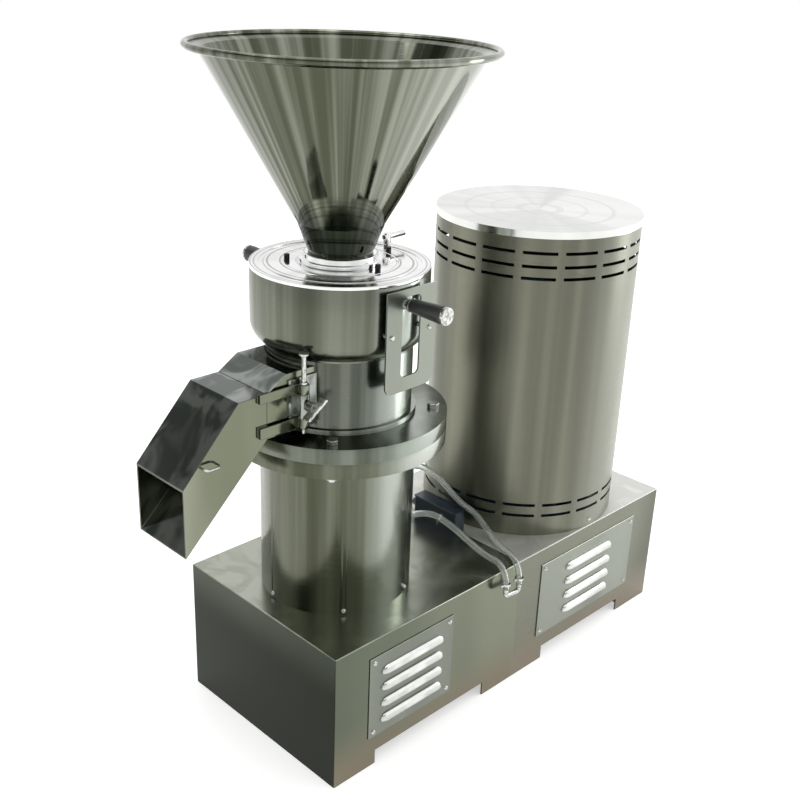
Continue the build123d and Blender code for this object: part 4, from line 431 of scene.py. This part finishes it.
def pan_head(mesh, seat, outward):
    """One domed screw head with a cross recess, standing on its seat."""
    rings, sectors = 9, 24
    turn = outward.to_track_quat("Z", "Y").to_matrix().to_4x4()
    middle = mesh.verts.new(seat + outward * (head_height - recess_depth))
    last = [middle] * sectors
    for i in range(1, rings + 1):
        reach = head_radius * i / rings
        ring = []
        for j in range(sectors):
            x, y = reach * cos(2 * pi * j / sectors), reach * sin(2 * pi * j / sectors)
            rise = head_height * sqrt(max(0.0, 1 - (reach / head_radius) ** 4))
            in_cross = reach < recess_reach and min(abs(x), abs(y)) < recess_half
            ring.append(mesh.verts.new(seat + turn @ Vector((x, y, rise - (recess_depth if in_cross else 0)))))
        for j in range(sectors):
            k = (j + 1) % sectors
            face = (last[j], ring[j], ring[k]) if i == 1 else (last[j], ring[j], ring[k], last[k])
            mesh.faces.new(face)
        last = ring


mill_x = (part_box("column")[0].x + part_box("column")[1].x) / 2
motor_x = (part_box("motor_cover")[0].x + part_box("motor_cover")[1].x) / 2
screw_inset = 0.011
panel_heads = bmesh.new()
for side in ("mill", "motor"):
    low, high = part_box("louvre_panel_" + side)
    for x in (low.x + screw_inset, high.x - screw_inset):
        for z in (low.z + screw_inset, high.z - screw_inset):
            pan_head(panel_heads, Vector((x, high.y - panel_sheet, z)), Vector((0, -1, 0)))
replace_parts(mesh_piece("panel_screw_heads", panel_heads, "base", screw_finish), "panel_screws")


def ring_of_heads(name, axis_x, radius, height, first, count, node):
    """Screw heads evenly spaced round a vertical wall."""
    heads = bmesh.new()
    for i in range(count):
        turn = radians(first + 360 * i / count)
        outward = Vector((cos(turn), sin(turn), 0))
        pan_head(heads, Vector((axis_x, 0, height)) + outward * radius, outward)
    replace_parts(mesh_piece(name, heads, "base", screw_finish), node)


column_radius = 0.134
cover_radius = (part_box("motor_cover")[1].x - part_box("motor_cover")[0].x) / 2
base_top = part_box("base_shell_mill")[1].z
ring_of_heads("column_screw_heads", mill_x, column_radius, base_top + 0.008, -66, 6, "column_screws")
ring_of_heads("cover_screw_heads", motor_x, cover_radius, base_top + 0.013, -92, 4, "cover_screws")


# Column and mill body: turned and polished stainless, with upright bands of painted reflection and a
# painted highlight on one side in the colour, and a bump grain for the fine rings that the polishing leaves round them.
def turned_polish():
    """Round polished metal: upright bands of painted reflection round the axis, a painted highlight on one side,
    painted shade below a given height, and a fine turned grain.
    """
    group, given, result = new_group(
        "turned_polish",
        [("Axis", "Vector", (0, 0, 0)), ("Deep", "Color", (0.1, 0.1, 0.1, 1)), ("Bright", "Color", (0.3, 0.3, 0.3, 1)),
         ("Lit", "Color", (0.5, 0.5, 0.5, 1)), ("Lit Amount", "Float", 0.6), ("Lit Towards", "Vector", (0.45, -0.9, 0)),
         ("Lit From", "Float", 0.6), ("Bands", "Float", 3.0), ("Band Low", "Float", 0.34), ("Band High", "Float", 0.66), ("Run", "Float", 0.4), ("Grain", "Float", 900.0),
         ("Low", "Color", (0.05, 0.05, 0.05, 1)), ("Low Below", "Float", -1.0), ("Low Above", "Float", -0.9),
         ("Ring", "Color", (0.1, 0.1, 0.1, 1)), ("Ring Amount", "Float", 0.0), ("Ring Spacing", "Float", 60.0),
         ("Smoothest", "Float", 0.2), ("Roughest", "Float", 0.3)],
        [("Color", "Color"), ("Roughness", "Float"), ("Height", "Float")])
    place = put(group, "TexCoord").outputs["Object"]
    from_axis = put(group, "VectorMath", {0: place, 1: given["Axis"]}, operation="SUBTRACT").outputs[0]
    flat = put(group, "VectorMath", {0: from_axis, 1: (1.0, 1.0, 0.0)}, operation="MULTIPLY").outputs[0]
    round_place = put(group, "VectorMath", {0: flat}, operation="NORMALIZE").outputs[0]
    height = put(group, "SeparateXYZ", {0: place}).outputs["Z"]
    # Painted reflection: noise bands round the axis, drawn out upright, mix Deep into Bright.
    banded = put(group, "VectorMath", {0: round_place, "Scale": given["Bands"]}, operation="SCALE").outputs[0]
    run = put(group, "Math", {0: height, 1: given["Run"]}, operation="MULTIPLY").outputs[0]
    lifted = put(group, "CombineXYZ", {2: run}).outputs[0]
    spread = put(group, "VectorMath", {0: banded, 1: lifted}, operation="ADD").outputs[0]
    bands = put(group, "TexNoise", {"Vector": spread, "Scale": 1.0, "Detail": 3.0, "Roughness": 0.55}).outputs[0]
    bands = ramp_between(group, bands, given["Band Low"], given["Band High"])
    colour = put(group, "Mix", {0: bands, 6: given["Deep"], 7: given["Bright"]}, data_type="RGBA").outputs[2]
    # Painted highlight: the side facing Lit Towards is mixed towards the Lit colour.
    towards = put(group, "VectorMath", {0: round_place, 1: given["Lit Towards"]}, operation="DOT_PRODUCT").outputs["Value"]
    painted_highlight_share = put(group, "MapRange", {"Value": towards, "From Min": given["Lit From"], "From Max": 1.0,
                                  "To Min": 0.0, "To Max": given["Lit Amount"]},
              interpolation_type="SMOOTHSTEP").outputs[0]
    colour = put(group, "Mix", {0: painted_highlight_share, 6: colour, 7: given["Lit"]}, data_type="RGBA").outputs[2]
    # Painted shade: below Low Above the colour darkens towards Low; only the hopper's neck uses it.
    low = put(group, "MapRange", {"Value": height, "From Min": given["Low Below"], "From Max": given["Low Above"],
                                  "To Min": 0.85, "To Max": 0.0}, interpolation_type="SMOOTHSTEP").outputs[0]
    colour = put(group, "Mix", {0: low, 6: colour, 7: given["Low"]}, data_type="RGBA").outputs[2]
    reach = put(group, "VectorMath", {0: flat}, operation="LENGTH").outputs["Value"]
    tool_marks = put(group, "Math", {0: reach, 1: given["Ring Spacing"]}, operation="MULTIPLY").outputs[0]
    tool_marks = put(group, "CombineXYZ", {0: tool_marks}).outputs[0]
    tool_marks = put(group, "TexNoise", {"Vector": tool_marks, "Scale": 1.0, "Detail": 2.0}).outputs[0]
    upward = put(group, "SeparateXYZ", {0: put(group, "TexCoord").outputs["Normal"]}).outputs["Z"]
    ring_share = put(group, "Math", {0: ramp_between(group, tool_marks, 0.52, 0.62),
                                     1: ramp_between(group, upward, 0.7, 0.95)}, operation="MULTIPLY").outputs[0]
    ring_share = put(group, "Math", {0: ring_share, 1: given["Ring Amount"]}, operation="MULTIPLY").outputs[0]
    group.links.new(put(group, "Mix", {0: ring_share, 6: colour, 7: given["Ring"]}, data_type="RGBA").outputs[2],
                    result["Color"])
    rings = put(group, "VectorMath", {0: from_axis, 1: (0.04, 0.04, 1.0)}, operation="MULTIPLY").outputs[0]
    grain = put(group, "TexNoise", {"Vector": rings, "Scale": given["Grain"], "Detail": 3.0}).outputs[0]
    group.links.new(grain, result["Height"])
    group.links.new(put(group, "MapRange", {"Value": grain, "From Min": 0.3, "From Max": 0.7,
                                            "To Min": given["Smoothest"], "To Max": given["Roughest"]}).outputs[0],
                    result["Roughness"])
    return group


turned_group = turned_polish()
mill_axis = (mill_x, 0.0, 0.0)
motor_axis = (motor_x, 0.0, 0.0)
# Painted light in the column and body colours: reflection bands and a strong highlight towards the motor's side and the
# front.
column_finish = finish_material("column_steel", turned_group, {
    "Axis": mill_axis, "Deep": tone(76, 79, 65), "Bright": tone(108, 111, 97), "Lit": tone(196, 202, 194),
    "Lit Amount": 0.8, "Bands": 3.4, "Smoothest": 0.17, "Roughest": 0.26}, 0.05)
body_finish = finish_material("body_steel", turned_group, {
    "Axis": mill_axis, "Deep": tone(84, 88, 79), "Bright": tone(116, 120, 110), "Lit": tone(180, 188, 180),
    "Lit Amount": 0.75, "Bands": 4.2, "Smoothest": 0.16, "Roughest": 0.26}, 0.04)
dress(column_finish, "column", slot="polished_steel", edge=0.001, edge_wear_and_highlight=wear_and_highlight_fold)
dress(body_finish, "mill_body", slot="polished_steel", edge=0.001, edge_wear_and_highlight=wear_and_highlight_fold)
dress(screw_finish, "flange_bolts", "flange_nuts", slot="screw_steel", edge=0.0008)

# Bearing housing, bearings, seal and pulleys inside the column and base: machined grey iron,
# ground steel rings and a black rubber seal that nobody sees until it is taken apart.
cast_finish = finish_material("cast_iron", paint_group, {
    "Shade": (0.09, 0.09, 0.088, 1), "Worn": (0.15, 0.15, 0.145, 1), "Peel": 420.0,
    "Smoothest": 0.45, "Roughest": 0.6}, 0.25, metallic=0.7)
ground_finish = finish_material("ground_steel", bright_group, {
    "Clean": tone(190, 191, 188), "Dull": tone(150, 150, 146), "Marks": 60.0}, 0.03)
rubber_finish = finish_material("black_rubber", paint_group, {
    "Shade": (0.018, 0.018, 0.018, 1), "Worn": (0.035, 0.035, 0.034, 1), "Peel": 500.0,
    "Smoothest": 0.55, "Roughest": 0.75}, 0.15, metallic=0.0)
dress(cast_finish, "bearing_housing", "spindle_pulley", "motor_pulley", slot="cast_iron", edge=0.0008)
dress(ground_finish, "spindle_bearing_upper", "spindle_bearing_lower", "motor_bearings", slot="bearing_steel")
dress(rubber_finish, "spindle_seal", slot="seal_rubber")
dress(rubber_finish, "v_belts", slot="belt_rubber")

# Spindle, slinger, toothed rotor, feed screw and stator: ground stainless, a little duller on the
# grinding teeth than on the shaft.
# Painted light here too: reflection bands and a weak highlight towards the motor's side and the front.
grinding_finish = finish_material("ground_stainless", turned_group, {
    "Axis": mill_axis, "Deep": tone(128, 130, 124), "Bright": tone(170, 172, 166), "Lit": tone(180, 182, 176),
    "Lit Amount": 0.2, "Bands": 5.0, "Smoothest": 0.25, "Roughest": 0.4}, 0.06)
dress(grinding_finish, "spindle", "slinger", "rotor", "feed_screw", "stator", slot="shaft_steel")

# Adjusting drum and the stator holder inside it: turned stainless with a rounded lower edge; a painted
# highlight makes it bright on the motor's side, and painted reflection bands keep it olive grey towards the chute.
drum_finish = finish_material("drum_steel", turned_group, {
    "Axis": mill_axis, "Deep": tone(84, 87, 76), "Bright": tone(118, 122, 110), "Lit": tone(176, 184, 176),
    "Lit Amount": 0.8, "Bands": 3.6, "Run": 0.25, "Smoothest": 0.16, "Roughest": 0.26}, 0.04)
dress(drum_finish, "adjusting_drum", slot="polished_steel", edge=0.0006)
dress(drum_finish, "stator_holder", slot="polished_steel")

# Lid, collar and water nozzle on top of the drum: the brightest polish on the machine, with two
# turned grooves, and small black hex bolts.
# Painted light in the lid's colour: reflection bands and a highlight towards the motor's side and the front.
lid_finish = finish_material("lid_steel", turned_group, {
    "Axis": mill_axis, "Deep": tone(218, 219, 217), "Bright": tone(240, 241, 240), "Lit": tone(250, 250, 250),
    "Lit Amount": 0.5, "Bands": 2.0, "Ring": tone(128, 130, 126), "Ring Amount": 0.75, "Ring Spacing": 190.0,
    "Smoothest": 0.08, "Roughest": 0.14}, 0.02)
dress(lid_finish, "lid", slot="lid_steel", edge=0.0005)
dress(lid_finish, "collar", "lid_nozzle", slot="lid_steel", edge=0.0004)
bolt_black = finish_material("black_bolt", bright_group, {
    "Clean": tone(58, 58, 60), "Dull": tone(38, 38, 40), "Marks": 300.0, "Smoothest": 0.3, "Roughest": 0.45}, 0.05)
dress(bolt_black, "lid_bolts", slot="screw_steel", edge=0.0005)

# Hopper: a spun and rolled cone of mirror polished sheet with a short neck and a rolled bead round
# its rim. Narrow streaks of painted reflection run up the cone, with a painted highlight on one side and painted shade
# on the neck.
hopper_finish = finish_material("hopper_steel", turned_group, {
    "Axis": mill_axis, "Deep": tone(78, 82, 68), "Bright": tone(140, 143, 130), "Lit": tone(178, 181, 172),
    "Lit Amount": 0.5, "Bands": 7.0, "Band Low": 0.42, "Band High": 0.7, "Run": 0.5, "Grain": 500.0,
    "Low": tone(44, 50, 42), "Low Below": 0.9, "Low Above": 0.985, "Smoothest": 0.05, "Roughest": 0.12}, 0.01)
dress(hopper_finish, "hopper", slot="hopper_steel")

# Guard plate: a flat steel frame with a rounded window, held off the drum by two shoulder screws
# whose heads catch the light.
dress(panel_finish, "guard_plate", slot="panel_steel", edge=0.0006)
dress(screw_finish, "guard_screws", slot="screw_steel", edge=0.0004)

# Locking handles: a bright rod with a ring and an end cap, and a tapered black moulded grip.
grip_finish = finish_material("black_grip", paint_group, {
    "Shade": (0.022, 0.022, 0.024, 1), "Worn": (0.04, 0.04, 0.042, 1), "Peel": 700.0,
    "Smoothest": 0.3, "Roughest": 0.42}, 0.08, metallic=0.0)
for side in ("front", "rear"):
    dress(screw_finish, "handle_rod_" + side, slot="screw_steel", edge=0.0003)
    dress(grip_finish, "handle_grip_" + side, slot="black_grip", edge=0.0005)

# Outlet stub and chute: folded polished sheet, with a painted dark reflection of the room on the sloping top,
# painted shade on the end facing -x and light olive drifts of painted reflection on its side, with a bright hinge plate
# and a wire clip.
duct_finish = finish_material("duct_steel", sheet_group, {
    "Deep": tone(112, 116, 99), "Bright": tone(144, 147, 131), "Foot": tone(120, 122, 110),
    "End": tone(66, 70, 64), "Top": tone(92, 97, 94), "Top Swirl": tone(146, 150, 146), "Top Roughness": 0.12,
    "Drift": 9.0, "Foot Height": 0.1, "Smoothest": 0.1, "Roughest": 0.2}, 0.04)
hinge_finish = finish_material("hinge_steel", bright_group, {
    "Clean": tone(150, 155, 150), "Dull": tone(110, 114, 106), "Marks": 60.0, "Smoothest": 0.12,
    "Roughest": 0.2}, 0.03)
dress(duct_finish, "outlet_stub", "chute", slot="duct_steel", edge=0.0008)
dress(hinge_finish, "hinge_plate", slot="panel_steel", edge=0.0006)
dress(screw_finish, "chute_clip", "chute_pin", "lock_screw", slot="screw_steel")

# Motor inside its cover: blue hammered enamel on the finned frame, flange, shield and fan cowl, a
# black fan, and a bare shaft and core.
motor_finish = finish_material("motor_enamel", paint_group, {
    "Shade": (0.05, 0.12, 0.24, 1), "Worn": (0.08, 0.17, 0.3, 1), "Peel": 300.0}, 0.3, metallic=0.0)
dress(motor_finish, "motor_frame", "motor_flange", "motor_end_shield", "motor_fan_cowl", slot="motor_paint", edge=0.0008)
dress(ground_finish, "motor_stator_core", "motor_shaft", slot="shaft_steel")
dress(grip_finish, "motor_fan", slot="black_grip")

# Motor cover: a rolled cylinder of brushed stainless with rows of cooling slots, and a thin lid of
# bright polished sheet with a turned down edge. Both carry upright bands of painted reflection and a painted highlight
# towards the front right.
cover_finish = finish_material("cover_steel", turned_group, {
    "Axis": motor_axis, "Deep": tone(100, 101, 90), "Bright": tone(128, 128, 114), "Lit": tone(158, 160, 150),
    "Lit Amount": 0.5, "Bands": 2.6, "Run": 0.3, "Grain": 700.0, "Smoothest": 0.3, "Roughest": 0.4}, 0.06)
cover_lid_finish = finish_material("cover_lid_steel", turned_group, {
    "Axis": motor_axis, "Deep": tone(214, 216, 212), "Bright": tone(238, 239, 236), "Lit": tone(248, 248, 246),
    "Lit Amount": 0.5, "Bands": 1.6, "Ring": tone(206, 208, 206), "Ring Amount": 0.5, "Ring Spacing": 40.0,
    "Smoothest": 0.12, "Roughest": 0.2}, 0.02)
dress(cover_finish, "motor_cover", slot="cover_steel")
dress(cover_lid_finish, "motor_cover_lid", slot="lid_steel")

# Junction box between the column and the cover: gloss dark blue paint on a small steel box.
box_finish = finish_material("box_enamel", paint_group, {
    "Shade": tone(22, 38, 52), "Worn": tone(30, 50, 66), "Peel": 340.0, "Smoothest": 0.18, "Roughest": 0.3},
    0.06, metallic=0.0, Coat_Weight=0.4)
dress(box_finish, "junction_box", slot="blue_paint", edge=0.0006)
dress(screw_finish, "hose_nozzles", slot="screw_steel", edge=0.0004)

# Cooling water hoses: clear vinyl tube from the two nozzles, over the front edge of the base, to a
# joiner that hangs in front of the seam, with a wing clamp at each end.
hose_radius = 0.006
hose_wall = 0.0016
supply_route = [(-0.0379, -0.0333, 0.338), (0.0012, -0.0416, 0.338), (0.018, -0.086, 0.319), (0.027, -0.128, 0.296),
                (0.033, -0.163, 0.281), (0.036, -0.1946, 0.280), (0.031, -0.218, 0.258), (0.031, -0.218, 0.236)]
return_route = [(-0.0345, 0.0, 0.422), (0.0055, 0.0, 0.422), (0.055, -0.014, 0.382), (0.088, -0.042, 0.325),
                (0.114, -0.062, 0.303), (0.110, -0.104, 0.277), (0.092, -0.150, 0.271), (0.074, -0.1946, 0.280),
                (0.068, -0.218, 0.257), (0.068, -0.218, 0.232)]
clear_vinyl = bpy.data.materials.new("clear_vinyl")
clear_vinyl.use_nodes = True
vinyl = clear_vinyl.node_tree.nodes["Principled BSDF"]
vinyl.inputs["Transmission Weight"].default_value = 0.92
vinyl.inputs["IOR"].default_value = 1.45
vinyl_cloud = put(clear_vinyl.node_tree, "TexNoise", {"Scale": 90.0, "Detail": 3.0})
vinyl_shade = put(clear_vinyl.node_tree, "Mix", {0: vinyl_cloud.outputs[0], 6: (0.86, 0.9, 0.87, 1),
                                                 7: (0.95, 0.97, 0.95, 1)}, data_type="RGBA")
vinyl_rough = ramp_between(clear_vinyl.node_tree, vinyl_cloud.outputs[0], 0.3, 0.7, 0.05, 0.16)
clear_vinyl.node_tree.links.new(vinyl_shade.outputs[2], vinyl.inputs["Base Color"])
clear_vinyl.node_tree.links.new(vinyl_rough, vinyl.inputs["Roughness"])


def hose(name, route, node):
    """A clear tube along a smooth line through its route."""
    line = bpy.data.curves.new(name, "CURVE")
    line.dimensions = "3D"
    line.resolution_u = 24
    line.bevel_depth = hose_radius
    line.bevel_resolution = 8
    line.use_fill_caps = False
    spline = line.splines.new("NURBS")
    spline.points.add(len(route) - 1)
    for point, place in zip(spline.points, route):
        point.co = (*place, 1.0)
    spline.order_u = 3
    spline.use_endpoint_u = True
    line.materials.append(clear_vinyl)
    tube = bpy.data.objects.new(name, line)
    bpy.context.scene.collection.objects.link(tube)
    wall = tube.modifiers.new("wall", "SOLIDIFY")
    wall.thickness = hose_wall
    wall.offset = -1
    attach(tube, "base")
    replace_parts(tube, node)
    return tube


hose("clear_hose_supply", supply_route, "supply_hose")
hose("clear_hose_return", return_route, "return_hose")
dress(screw_finish, "hose_joiner", "hose_clamps", slot="screw_steel", edge=0.0003)
